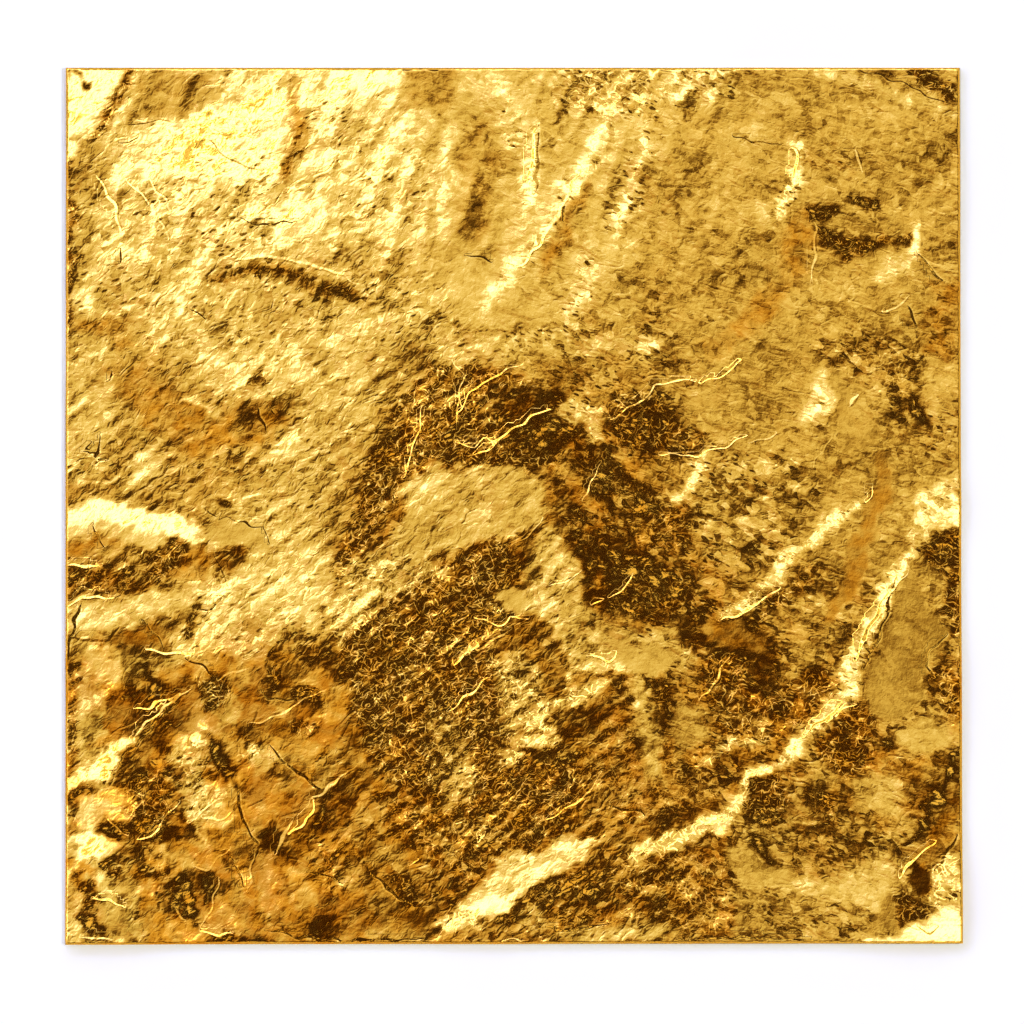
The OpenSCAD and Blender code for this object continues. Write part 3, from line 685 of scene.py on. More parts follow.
# The thin creases, by tone and width
CREASES = (
    (WHITE, 0.25, (
        ((10.9, -6.2), (10.4, -7.2), (9.6, -7.8), (8.9, -8.6)),
    )),
    (WHITE, 0.3, (
        ((32.8, 1.8), (32.2, 0.4)),
        ((3.3, -7.1), (4.6, -6.9), (5.8, -6.2), (6.4, -5.6)),
        ((6.8, -9.1), (7.6, -8.8), (8.2, -8.6)),
        ((-3.4, -10), (-2.4, -10.6), (-1.2, -10.9), (-0.2, -10.2), (1.4, -10.1)),
    )),
    (WHITE, 0.32, (
        ((13.3, 4.7), (15, 4.8), (16.6, 4.5), (18.4, 5.1), (20, 5.8), (21.6, 6.6)),
        ((17, 11.3), (18.6, 11.8), (20, 12.5), (21, 13.3)),
    )),
    (WHITE, 0.35, (
        ((-28.6, -38.9), (-27, -39), (-25.4, -39.1)),
        ((36, -5.8), (35, -7.4), (34.4, -8.2)),
        ((31.4, -18), (29.8, -18.6), (28.6, -19.6)),
        ((-3.1, -30.5), (-2.7, -30)),
    )),
    (WHITE, 0.4, (
        ((-38.2, -35.9), (-36.8, -35.8), (-35.6, -36.5)),
        ((30.6, 9.2), (31.5, 10.1)),
        ((38.6, -30.6), (37, -31.8), (36, -33.2), (35.2, -34.1)),
        ((-1, -39.6), (1.6, -39.7), (3, -39.8)),
        ((-4.8, 8.6), (-4, 10.2), (-3, 11), (-1.8, 11.7), (-0.4, 12.4), (1, 13)),
        ((-5.4, -14.5), (-4.4, -13.6), (-3.1, -12.4)),
        ((-5.6, -18.6), (-4, -17.3), (-2.8, -16.4), (-2, -15.5)),
        ((7, -13.6), (8.6, -14.2), (9.6, -13.4)),
    )),
    (WHITE, 0.42, (
        ((-3.6, 4.6), (-2.4, 5.2), (-1.2, 6.1), (0, 6.9), (1, 7.8), (2.4, 8.5), (3.6, 8.9)),
    )),
    (WHITE, 0.45, (
        ((-32, -28.7), (-32.4, -29.6), (-33.2, -30.3), (-34.2, -30.4)),
    )),
    (WHITE, 0.5, (
        ((-41, -9.2), (-40, -8.8), (-39.2, -8.3), (-37.5, -8.3), (-36.4, -8.5)),
        ((-33.6, -13.1), (-32, -13.4), (-30.6, -13.5), (-29, -13.3)),
        ((-18.2, -27), (-18.6, -28.4), (-19.6, -29.4), (-20.6, -30.1)),
        ((30.2, -17.6), (28.4, -19.4), (26.6, -21)),
    )),
    (WHITE, 0.6, (
        ((6.2, 30.6), (4.9, 28.4), (3.8, 26), (2.4, 24), (0.4, 21.6)),
        ((25.7, 32.8), (26, 31.4), (25.6, 30)),
        ((24.4, -7.4), (21.6, -9.4), (19, -10.4)),
        ((34.4, -7.6), (33.2, -9.8), (32, -12), (31.2, -14.2)),
    )),
    (WHITE, 0.62, (
        ((1.9, 34.6), (1.8, 32), (1.6, 29.6)),
    )),
    (BRIGHT, 0.25, (
        ((-5, 5.8), (-3.4, 5.4), (-2.6, 6.2), (-1.6, 5.9)),
        ((-2.4, -9.6), (-1.7, -9.3), (-1, -9.6), (-1.7, -9.8), (-2.2, -9.6)),
    )),
    (BRIGHT, 0.28, (
        ((-0.5, -3.7), (0.9, -3), (2, -2.2), (2.9, -1.1)),
    )),
    (BRIGHT, 0.3, (
        ((-6, 13.6), (-4.4, 12), (-5, 9.8), (-5.2, 7)),
        ((-8, 9.4), (-8.6, 7), (-9.4, 4.6), (-10, 2.4)),
        ((-5.6, -10.8), (-4.4, -10.2), (-3.8, -9.7)),
        ((3, -28.6), (6.4, -26.6), (8.2, -24.2)),
        ((-8.9, -29.6), (-8.3, -28.8)),
        ((-9.2, -33), (-8.6, -32.2)),
        ((19.8, -4.9), (18.4, -5.4), (17, -5.6)),
        ((21.4, 5.6), (23, 6.2), (24.2, 6.6)),
    )),
    (BRIGHT, 0.32, (
        ((8, 3.8), (7.1, 2.4), (6.8, 1), (6.3, 0.1)),
    )),
    (BRIGHT, 0.35, (
        ((-24, -20), (-22.4, -19.4), (-20.4, -18.6), (-18.4, -17.2), (-17, -16.9)),
        ((-31.9, -28.4), (-31, -27.6), (-30.4, -27)),
        ((-37.4, -28.3), (-36.4, -29.2), (-35, -30.2)),
        ((16.9, -17.9), (18, -16.6), (18.9, -15.2), (19.7, -13.6)),
    )),
    (BRIGHT, 0.4, (
        ((-34.6, -18.6), (-32.4, -18), (-30.2, -17.1)),
        ((-28.4, -28.4), (-26.8, -28.6), (-25.6, -27.8)),
        ((-26.8, -34), (-27.4, -35.8), (-27.6, -37), (-28.6, -38.6)),
        ((-23.8, -33.6), (-24.2, -35), (-23.6, -31.6)),
        ((-39.6, -39.4), (-37.6, -39.3), (-36.4, -39.5)),
        ((36.3, 19.3), (35, 18), (33.8, 17.6)),
        ((9, 8), (10.4, 9), (11.7, 9.6), (13, 11), (15, 11.4), (17, 11.4)),
    )),
    (BRIGHT, 0.45, (
        ((-3.6, -13.2), (-2, -12.4), (-0.4, -11.4)),
    )),
    (BRIGHT, 0.5, (
        ((-35.5, 30), (-33, 27.5), (-31.5, 24.5)),
        ((-33.4, 30), (-31.6, 27.6), (-30.2, 26.2)),
        ((-41, -5.3), (-39.5, -5.5), (-37.8, -5.4)),
        ((-34.8, -21.4), (-33.4, -19.8), (-31.6, -18.2), (-29.4, -16.7)),
        ((-29.6, -29), (-28, -27.4), (-26.2, -26.6)),
        ((-27, -16), (-25.6, -15.2), (-24.2, -14.9)),
        ((-31, -36.4), (-30.4, -37.2), (-29.9, -37.8)),
        ((-29, -33), (-27.8, -33.2), (-27, -32.2), (-26, -31.4)),
        ((31.2, 32.6), (31.8, 30.4)),
        ((9.8, -33), (8.2, -34.4), (5.4, -34.6), (3.4, -36)),
    )),
    (BRIGHT, 0.6, (
        ((-38, 30), (-36.2, 27), (-35.8, 24.6)),
        ((-26, 22.4), (-22.5, 22.9), (-18, 21.9), (-14, 20.4)),
        ((-18.4, -26.8), (-17, -25.8), (-15.4, -24.6)),
        ((-20, -28.6), (-20.8, -29.8), (-21.6, -31.6)),
    )),
    (PALE, 0.3, (
        ((-25.5, 37), (-24, 35), (-23.4, 32.5)),
    )),
    (PALE, 0.35, (
        ((-29, 35.3), (-26.5, 34.2), (-23, 34)),
        ((-38.4, 0.6), (-37.2, -0.4), (-37.8, -1.2)),
        ((27.2, 3.4), (28, 4.6), (29.4, 6.8)),
    )),
    (PALE, 0.4, (
        ((-33.4, -0.4), (-32.5, -1.6), (-33, -2.6)),
    )),
    (PALE, 0.5, (
        ((27.4, 26.6), (27.6, 23), (27.3, 20.6)),
    )),
    (PLAIN, 0.4, (
        ((-34.6, 12.2), (-33.2, 9.2), (-31.8, 7.4)),
        ((-32.4, 10.6), (-31.8, 8.6)),
    )),
    (HONEY, 0.3, (
        ((-27.3, -4.4), (-26.7, -6), (-26, -7.6)),
    )),
    (HONEY, 0.35, (
        ((37, -38.2), (37.8, -39), (39, -38.2)),
    )),
    (HONEY, 0.5, (
        ((-28, 33.2), (-26, 31.8), (-23, 30.5)),
        ((-36, 24.3), (-34.5, 24.7), (-33, 25)),
        ((-14.6, -31), (-14, -32.4), (-13.2, -33.4)),
    )),
    (RUSSET, 0.6, (
        ((-40.4, -11.9), (-38.4, -12.4), (-35.6, -11.9)),
    )),
    (BROWN, 0.3, (
        ((-25, 26.2), (-22.5, 25.7), (-19.6, 26.1)),
        ((-27, -1.2), (-24.6, -1.4), (-22.8, -2), (-22, -3.8)),
    )),
    (BROWN, 0.35, (
        ((-35, 34.8), (-33, 34.9), (-31, 35.3)),
        ((-36, 33.1), (-34, 33.6)),
        ((31, 40), (35.4, 38.6), (38.6, 37.2), (40.8, 36.3)),
        ((20, 33.8), (22.6, 33.2), (24.6, 32.7)),
    )),
    (BROWN, 0.5, (
        ((2.4, 35), (2.3, 31), (2, 28.6)),
    )),
    (DARK, 0.4, (
        ((-29.4, 18), (-28, 17.2)),
        ((-22, 9), (-21.6, 8.3)),
        ((-28, -0.4), (-27, -0.9)),
    )),
    (DARK, 0.5, (
        ((-23.4, 8.9), (-23, 7.6), (-22.4, 6.6)),
        ((-34.6, 1.1), (-33.6, 2), (-32.2, 2.7), (-31, 3.7)),
        ((-30, -13.8), (-28.6, -14.6), (-27.2, -15.4)),
        ((-4.2, 22.8), (-1.8, 22.4)),
    )),
    (DARK, 0.6, (
        ((18.6, 39.9), (20.4, 39.9)),
        ((36, 18.2), (36.9, 16.2)),
    )),
    (BLACK, 0.3, (
        ((-34, -10.2), (-32.6, -11.8), (-31.8, -13)),
    )),
    (BLACK, 0.35, (
        ((-35.6, 23.6), (-36, 22)),
        ((-38.6, 6), (-38.9, 5), (-37.8, 4.2), (-37, 4)),
        ((-25.8, -31.6), (-25, -33.6), (-24.6, -35)),
        ((4.8, 27.6), (4.4, 26)),
    )),
    (BLACK, 0.4, (
        ((-38.1, -1.7), (-38.2, -2.4), (-37.7, -3), (-37.1, -4)),
        ((-26.4, -8.4), (-27.6, -9.3), (-28.6, -9.6)),
        ((-23.2, -16.8), (-22.4, -17.6), (-20.8, -17.8), (-19.4, -17.4)),
        ((-18.6, -33.4), (-17, -33.8), (-15.4, -34.4)),
        ((39.6, -11.8), (38.2, -13), (37.7, -14.6), (38.6, -15.8)),
    )),
    (BLACK, 0.45, (
        ((-36.5, 12.2), (-36.8, 11.3)),
        ((-36.4, -8.5), (-35.4, -7.4), (-34.4, -6.4)),
        ((2, -38.6), (5.8, -38.7), (8.8, -38)),
    )),
    (BLACK, 0.5, (
        ((-37.5, 6.6), (-37.9, 5), (-38.8, 4.9)),
        ((-22.2, -21.8), (-20.8, -23.4), (-19, -24.8), (-17.8, -25.8)),
        ((-14.2, -32.2), (-12.4, -34), (-10.6, -35.6), (-9, -36.6)),
        ((-22.4, -38.6), (-19, -39.5), (-13, -39.7), (-8, -39.6)),
        ((-10.2, 39.8), (-8.5, 39.9), (-6.6, 39.8)),
        ((37, 23.1), (38, 21.9), (39.1, 20.4)),
        ((35, -6.4), (33.6, -11.4), (32, -15)),
        ((15, -39.6), (20, -39.4), (28, -39.7)),
        ((8.4, -27.4), (10.4, -27.6), (12, -28.2)),
    )),
    (BLACK, 0.55, (
        ((-36.6, -24.2), (-35, -22.4), (-33.6, -20.9), (-31.8, -18.9), (-30.2, -17.6)),
    )),
    (BLACK, 0.6, (
        ((-39.4, -9), (-40, -10.6), (-40.6, -12.4), (-40.7, -14.5)),
        ((-25.2, -25.6), (-25, -27.6), (-24.2, -29.6), (-23.2, -31)),
        ((40.8, -29.8), (39.4, -31.8), (38.4, -33.4)),
    )),
)


@dataclass(frozen=True)
class Ripple:
    """Chance ridges: their usual lean in degrees, how long their waves are in mm and how much that varies,
    their direction in degrees from X or None for all, and how far they stray from it in radians."""

    lean: float
    length: float
    spread: float = 0.35
    along: float | None = None
    narrow: float = 0.35
    sharp: bool = True


RISING = (Ripple(1.8, 3.0, 0.35, 40, 0.22), Ripple(1.1, 1.2, 0.35, 36, sharp=False))
FALLING = (Ripple(1.2, 2.6, 0.35, -26, 0.22), Ripple(0.8, 1.2, 0.35, -22, sharp=False))
HANGING = (
    Ripple(1.7, 7.0, 0.5, 68, 0.3),
    Ripple(0.6, 2.4, 0.4, 60, 0.5),
    Ripple(1.1, 1.1, 0.4, 20, 0.7, sharp=False),
)
KNOCKS = Ripple(1.2, 4.5, 0.4)
SWELLS = Ripple(1.2, 10.0, 0.4, sharp=False)


@dataclass
class CrinkledLeaf:
    """The crumpled gold leaf on the top page, with the foil's lean and its painted shade at each place of it.

    Lengths are in mm. A Point that is named for an edge holds the middle of a soft step and half its width.
    """

    cells: int = 300
    coarse: int = 4
    seed: int = 11
    wave_grid: int = 512
    fold_grid: int = 400
    blur_margin: int = 40
    thickness: float = 0.02
    page_shift: float = 0.2
    longest_wave: float = 9.0
    settle: float = 1.3
    rim_calm: float = 1.5
    soft_limit: float = 0.1
    tone_blur: float = 0.12
    far: float = 6.0
    seats_reach: float = 45.0
    plain: float = 0.3
    plain_crumple: float = 0.4
    spare: float = 1.5
    outline_wander: tuple[Point, ...] = ((0.22, 4.5), (0.16, 1.3))
    crease_wander: tuple[Point, ...] = ((0.10, 2.2),)
    crease_ends: float = 0.3
    grain_slant: float = 0.35
    grain_edge: Point = (4.0, 7.0)
    top_edge: Point = (19.0, 5.0)
    top_left_edge: Point = (-22.0, 7.0)
    chips_low_edge: Point = (12.0, 4.0)
    chips_left_edge: Point = (16.0, 5.0)
    large_chips: Point = (3.0, 0.3)
    small_chips: Point = (1.6, 0.15)
    small_chip_share: float = 0.6
    chip_lean: float = 0.008
    chip_lean_low_left: float = 0.050
    chip_calm: float = 0.6
    # Painted shade added over the lower left chips, and how much it varies from chip to chip
    chip_painted_shade: Point = (0.2, 0.3)
    calm_least: float = 0.15
    calm_gain: float = 1.3
    swells_least: float = 0.4
    inner_x: Point = (-40.1, 40.5)
    inner_y: Point = (-39.5, 39.5)
    above: float = 10.0
    corners: tuple[Point, ...] = ((-40.85, -40.03), (41.04, -39.9), (40.77, 40.0), (-40.8, 40.0))
    rng: np.random.Generator = field(init=False, repr=False)

    def __post_init__(self) -> None:
        """Starts the leaf's own random numbers and its grid of places."""
        self.rng = np.random.default_rng(self.seed)
        s, t = np.meshgrid(np.linspace(0, 1, self.cells + 1), np.linspace(0, 1, self.cells + 1))
        near_left, near_right, far_right, far_left = self.corners
        self.x, self.y = (
            (1 - s) * (1 - t) * near_left[axis] + s * (1 - t) * near_right[axis]
            + s * t * far_right[axis] + (1 - s) * t * far_left[axis]
            for axis in (0, 1)
        )
        self.step = (near_right[0] - near_left[0]) / self.cells
        self.rim = np.minimum(np.minimum(s, 1 - s), np.minimum(t, 1 - t)) * self.cells * self.step

    def waves(self, length: float, spread: float = 0.35, along: float | None = None,
              narrow: float = 0.35) -> np.ndarray:
        """Makes smooth random waves of unit strength.

        Args:
            length: Wave length, in mm.
            spread: How much the wave length varies.
            along: Direction of the ridges in degrees from X, or None for every direction.
            narrow: How far the ridges stray from that direction, in radians.

        Returns:
            The waves' height at each place.
        """
        n = self.wave_grid
        k = np.fft.fftfreq(n, self.step)
        kx, ky = np.meshgrid(k, k)
        size = np.hypot(kx, ky)
        weight = np.exp(-((size * length - 1) / spread) ** 2 / 2)
        if along is not None:
            turn = np.arctan2(ky, kx) - math.radians(along + 90)
            turn = (turn + math.pi / 2) % math.pi - math.pi / 2
            weight = weight * np.exp(-((turn / narrow) ** 2) / 2)
        noise = self.rng.standard_normal((n, n))
        height = np.real(np.fft.ifft2(np.fft.fft2(noise) * weight))[: self.cells + 1, : self.cells + 1]
        return height / height.std()

    def slope(self, height: np.ndarray) -> np.ndarray:
        """Finds the slopes of a height along X and Y."""
        along_y, along_x = np.gradient(height, self.step)
        return np.stack([along_x, along_y], -1)

    def ripples(self, *kinds: Ripple) -> np.ndarray:
        """Leans the foil like the sides of chance ridges.

        Args:
            kinds: The sets of ridges, added up in order.

        Returns:
            The lean of each place along X and Y.
        """
        lean = np.zeros(self.x.shape + (2,))
        for kind in kinds:
            height = self.waves(kind.length, kind.spread, kind.along, kind.narrow)
            slope = self.slope(-np.abs(height) if kind.sharp else height)
            lean = lean - math.radians(kind.lean) * slope / slope.std()
        return lean

    def wandered(self, values: np.ndarray, wander: tuple[Point, ...]) -> np.ndarray:
        """Makes coordinates stray a little, so drawn lines get uneven.

        Args:
            values: The X or the Y of the places.
            wander: How far they stray and over what length, one pair for each set of waves.

        Returns:
            The strayed coordinates.
        """
        for reach, length in wander:
            values = values + reach * self.waves(length)
        return values

    def blurred(self, values: np.ndarray, reach: float) -> np.ndarray:
        """Softens values over a distance.

        Args:
            values: A value for each place.
            reach: Width of the softening, in mm.

        Returns:
            The softened values.
        """
        margin = self.blur_margin
        grown = np.pad(values, margin, mode="edge")
        k = np.fft.fftfreq(grown.shape[0], self.step)
        kx, ky = np.meshgrid(k, k)
        weight = np.exp(-2 * (math.pi * reach) ** 2 * (kx ** 2 + ky ** 2))
        return np.real(np.fft.ifft2(np.fft.fft2(grown) * weight))[margin:-margin, margin:-margin]

    def small_facets(self, size: float, wander: float) -> np.ndarray:
        """Breaks the leaf into flat chips that differ at random.

        Args:
            size: Width of a chip, in mm.
            wander: How ragged their edges are, in mm.

        Returns:
            Three random values of unit strength at each place, the same all over a chip.
        """
        reach = self.seats_reach
        count = int((2 * reach / size) ** 2)
        seats = self.rng.uniform(-reach, reach, (count, 2))
        values = self.rng.standard_normal((count, 3))
        tree = kdtree.KDTree(count)
        for index, seat in enumerate(seats):
            tree.insert((seat[0], seat[1], 0), index)
        tree.balance()
        px = self.wandered(self.x, ((wander, size * 0.8),))
        py = self.wandered(self.y, ((wander, size * 0.8),))
        found = [tree.find((a, b, 0))[1] for a, b in zip(px.ravel(), py.ravel())]
        return values[found].reshape(self.x.shape + (3,))

    def paint_shapes(self) -> list[np.ndarray]:
        """Paints the tones of all drawn shapes over each other, apart from the thin creases.

        Returns:
            The three values of the tone at each place: its two leans and its painted shade.
        """
        px = self.wandered(self.x, self.outline_wander)
        py = self.wandered(self.y, self.outline_wander)
        values = [np.zeros(self.x.shape) for _ in range(3)]
        crumple = np.full(self.x.shape, self.plain_crumple)
        for shape in (*REGIONS, *HOLLOWS, *ARCH, *UPPER_LEFT, *LEFT, *LOWER_LEFT, *TOP, *RIGHT, *MIDDLE):
            width = shape.width if isinstance(shape, Fold) else 0.0
            xs, ys = zip(*shape.points)
            reach = self.spare + shape.soft + width
            near = (px > min(xs) - reach) & (px < max(xs) + reach)
            near &= (py > min(ys) - reach) & (py < max(ys) + reach)
            part = shape.cover(px[near], py[near])
            for target, value in zip(values, shape.tone.value):
                target[near] += (value - target[near]) * part
            if shape.crumple is not None:
                crumple[near] += (shape.crumple - crumple[near]) * part
        self.crumple = np.clip(crumple, 0, 1)
        return [self.blurred(value, self.tone_blur) for value in values]

    def draw_creases(self) -> None:
        """Measures each place against the nearest thin crease.

        The distance counts in half widths of the crease and is above 0 on its lower right side.
        """
        x = self.wandered(self.x, self.crease_wander)
        y = self.wandered(self.y, self.crease_wander)
        self.crease = np.full(x.shape, self.far)
        self.crease_lean = np.zeros(x.shape)
        for tone, width, lines in CREASES:
            for a, b, away, part in (leg for line in lines for leg in Fold(tone, width, line).legs(x, y)):
                half = width / 4.0 * taper(part, self.crease_ends)
                dx, dy = b[0] - a[0], b[1] - a[1]
                side = np.sign(dx * (y - a[1]) - dy * (x - a[0])) * (1 if -dy - dx > 0 else -1)
                nearer = away / half < np.abs(self.crease)
                self.crease = np.where(nearer, side * away / half, self.crease)
                self.crease_lean = np.where(nearer, math.radians(tone.value[0]), self.crease_lean)

    def paint(self) -> None:
        """Works out how each place leans, how much painted shade turns its gold amber, and how crumpled it
        is.
        """
        light, left, painted_shade = self.paint_shapes()
        self.draw_creases()
        light, left = np.radians(light), np.radians(left)
        lean = np.stack([-(light + left) * DIAGONAL, (light - left) * DIAGONAL], -1)
        self.grain = beyond(self.x + self.grain_slant * self.y, self.grain_edge)
        calm = np.clip(self.calm_least + self.calm_gain * self.crumple, 0, 1)[..., None]
        rising, falling, hanging = self.ripples(*RISING), self.ripples(*FALLING), self.ripples(*HANGING)
        share = self.grain[..., None]
        flow = rising * (1 - share) + falling * share
        top = (beyond(self.y, self.top_edge) * beyond(-self.x, self.top_left_edge))[..., None]
        chips = beyond(-self.y, self.chips_low_edge) * beyond(-self.x, self.chips_left_edge)
        lean += calm * (flow * (1 - top) + hanging * top) * (1 - self.chip_calm * chips)[..., None]
        lean += calm * self.ripples(KNOCKS)
        lean += (self.swells_least + (1 - self.swells_least) * calm) * self.ripples(SWELLS)
        chip = self.small_facets(*self.large_chips)
        chip += self.small_chip_share * self.small_facets(*self.small_chips)
        lean += (self.chip_lean + self.chip_lean_low_left * chips)[..., None] * chip[..., :2]
        # Painted shade: the tones' amber, with more over the lower left chips, varying at random from chip to
        # chip
        self.painted_shade = np.clip(painted_shade + chips * (self.chip_painted_shade[0] + self.chip_painted_shade[1] * chip[..., 2]), 0, 1)
        self.lean = lean

    def packed_height(self, solid: bpy.types.Object) -> np.ndarray:
        """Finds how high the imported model's leaf stands, without its small flat cells.

        Args:
            solid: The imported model's leaf.

        Returns:
            The height of its upper side at each place, in mm.
        """
        mesh = solid.data
        corners = [tuple(vertex.co / MM) for vertex in mesh.vertices]
        tree = bvhtree.BVHTree.FromPolygons(corners, [tuple(face.vertices) for face in mesh.polygons])
        x = np.clip(self.x + self.page_shift, *self.inner_x)
        y = np.clip(self.y, *self.inner_y)
        hits = [tree.ray_cast((a, b, self.above), (0, 0, -1))[0] for a, b in zip(x.ravel(), y.ravel())]
        return self.blurred(np.array([hit.z for hit in hits]).reshape(x.shape), self.settle)

    def raise_folds(self, base: np.ndarray, low: float, high: float) -> None:
        """Adds the folds whose slopes come nearest to the painted lean.

        Args:
            base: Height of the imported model's leaf at each place, in mm.
            low: Lowest height of the foil, in mm.
            high: Highest height of the foil, in mm.
        """
        n = self.fold_grid
        margin = (n - self.cells - 1) // 2
        rest = n - self.cells - 1 - margin
        calm = smooth(self.rim / self.rim_calm - 1)
        grown = [np.pad(-self.lean[..., axis] * calm, (margin, rest)) for axis in (0, 1)]
        k = 2 * math.pi * np.fft.fftfreq(n, self.step)
        kx, ky = np.meshgrid(k, k)
        total = kx ** 2 + ky ** 2 + (2 * math.pi / self.longest_wave) ** 2
        wave = (-1j * kx * np.fft.fft2(grown[0]) - 1j * ky * np.fft.fft2(grown[1])) / total
        inner = slice(margin, margin + self.cells + 1)
        folds = np.real(np.fft.ifft2(wave))[inner, inner]
        part = (base + folds - low) / (high - low)
        soft = self.soft_limit
        part = np.where(part < soft, soft * np.exp(np.minimum(part - soft, 0) / soft), part)
        part = np.where(part > 1 - soft, 1 - soft * np.exp(-np.maximum(part - (1 - soft), 0) / soft), part)
        self.height = low + (high - low) * part
        have = -self.slope(self.height)
        have /= np.sqrt(1 + (have ** 2).sum(-1))[..., None]
        LOG.info("folds raised by %.2f mm on average, %.2f mm at most", folds.std(), np.abs(folds).max())
        self.missing = self.lean - have

    def underside(self) -> np.ndarray:
        """Finds a coarser underside that stays below the foil's top.

        Returns:
            Its height at every coarse place, in mm.
        """
        reach = self.coarse
        padded = np.pad(self.height, reach, mode="edge")
        size = self.cells + 1
        views = [padded[a:a + size, b:b + size] for a in range(2 * reach + 1) for b in range(2 * reach + 1)]
        low = np.minimum.reduce(views) - self.thickness
        low[[0, -1], :] = self.height[[0, -1], :] - self.thickness
        low[:, [0, -1]] = self.height[:, [0, -1]] - self.thickness
        return low

    def shell(self) -> tuple[np.ndarray, list[tuple[int, ...]], int]:
        """Closes the foil's top with the coarser underside.

        Returns:
            The corners in mm, the faces, and how many corners the underside has.
        """
        n, step = self.cells, self.coarse
        size = n + 1
        x, y = self.x + self.page_shift, self.y
        top = np.stack([x, y, self.height], -1).reshape(-1, 3)
        index = np.arange(size * size).reshape(size, size)
        quads = np.stack([index[:-1, :-1], index[:-1, 1:], index[1:, 1:], index[1:, :-1]], -1).reshape(-1, 4)
        coarse = np.zeros((size, size), bool)
        coarse[[0, -1], :] = coarse[:, [0, -1]] = True
        coarse[::step, ::step] = True
        below = np.full((size, size), -1)
        below[coarse] = size * size + np.arange(coarse.sum())
        bottom = np.stack([x, y, self.underside()], -1)[coarse]
        faces = [tuple(face) for face in quads.tolist()]
        for j in range(0, n, step):
            for i in range(0, n, step):
                near = [below[j, i + a] for a in range(step + 1) if a in (0, step) or j == 0]
                y, x = j + step, i + step
                right = [below[j + a, x] for a in range(1, step + 1) if a == step or x == n]
                far = [below[y, x - a] for a in range(1, step + 1) if a == step or y == n]
                left = [below[y - a, i] for a in range(1, step) if i == 0]
                faces.append(tuple(int(v) for v in (near + right + far + left)[::-1]))
        ring = [(0, i) for i in range(n)] + [(j, n) for j in range(n)]
        ring += [(n, n - i) for i in range(n)] + [(n - j, 0) for j in range(n)]
        for (a, b), (c, d) in zip(ring, ring[1:] + ring[:1]):
            faces.append((int(index[a, b]), int(below[a, b]), int(below[c, d]), int(index[c, d])))
        return np.concatenate([top, bottom]), faces, len(bottom)

    def build(self, solid: bpy.types.Object, low: float, high: float) -> bpy.types.Object:
        """Makes the leaf's closed mesh with its painted values as attributes.

        Args:
            solid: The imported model's leaf.
            low: Lowest height of the foil's underside, in mm.
            high: Highest height of the foil, in mm.

        Returns:
            The leaf's object.
        """
        self.paint()
        self.raise_folds(self.packed_height(solid), low + self.thickness, high)
        corners, faces, count = self.shell()
        name = "gold_leaf_top"
        mesh = bpy.data.meshes.new(name)
        mesh.from_pydata((corners * MM).tolist(), [], faces)
        lean = np.zeros((len(corners), 3))
        lean[:-count, :2] = self.missing.reshape(-1, 2)
        mesh.attributes.new("lean", "FLOAT_VECTOR", "POINT").data.foreach_set("vector", lean.ravel())
        # The painted shade is stored on the mesh with the crumple, grain and creases, one value a corner
        for painted in ("painted_shade", "crumple", "grain", "crease", "crease_lean"):
            below = np.full(count, self.far if painted == "crease" else self.plain)
            full = np.concatenate([getattr(self, painted).ravel(), below])
            mesh.attributes.new(painted, "FLOAT", "POINT").data.foreach_set("value", full)
        mesh.polygons.foreach_set("use_smooth", np.ones(len(mesh.polygons), bool))
        mesh.validate()
        return new_object(name, mesh)


@dataclass(frozen=True)
class Chips:
    """One size of the foil's small flat chips: how many to a mm, how long, and how far they lean."""

    scale: float
    stretch: float
    lean: float


@dataclass(frozen=True)
class Web:
    """One set of thin bright lines: direction in degrees, lines to a mm, width in cells, and offset."""

    degrees: float
    scale: float
    width: float
    shift: float


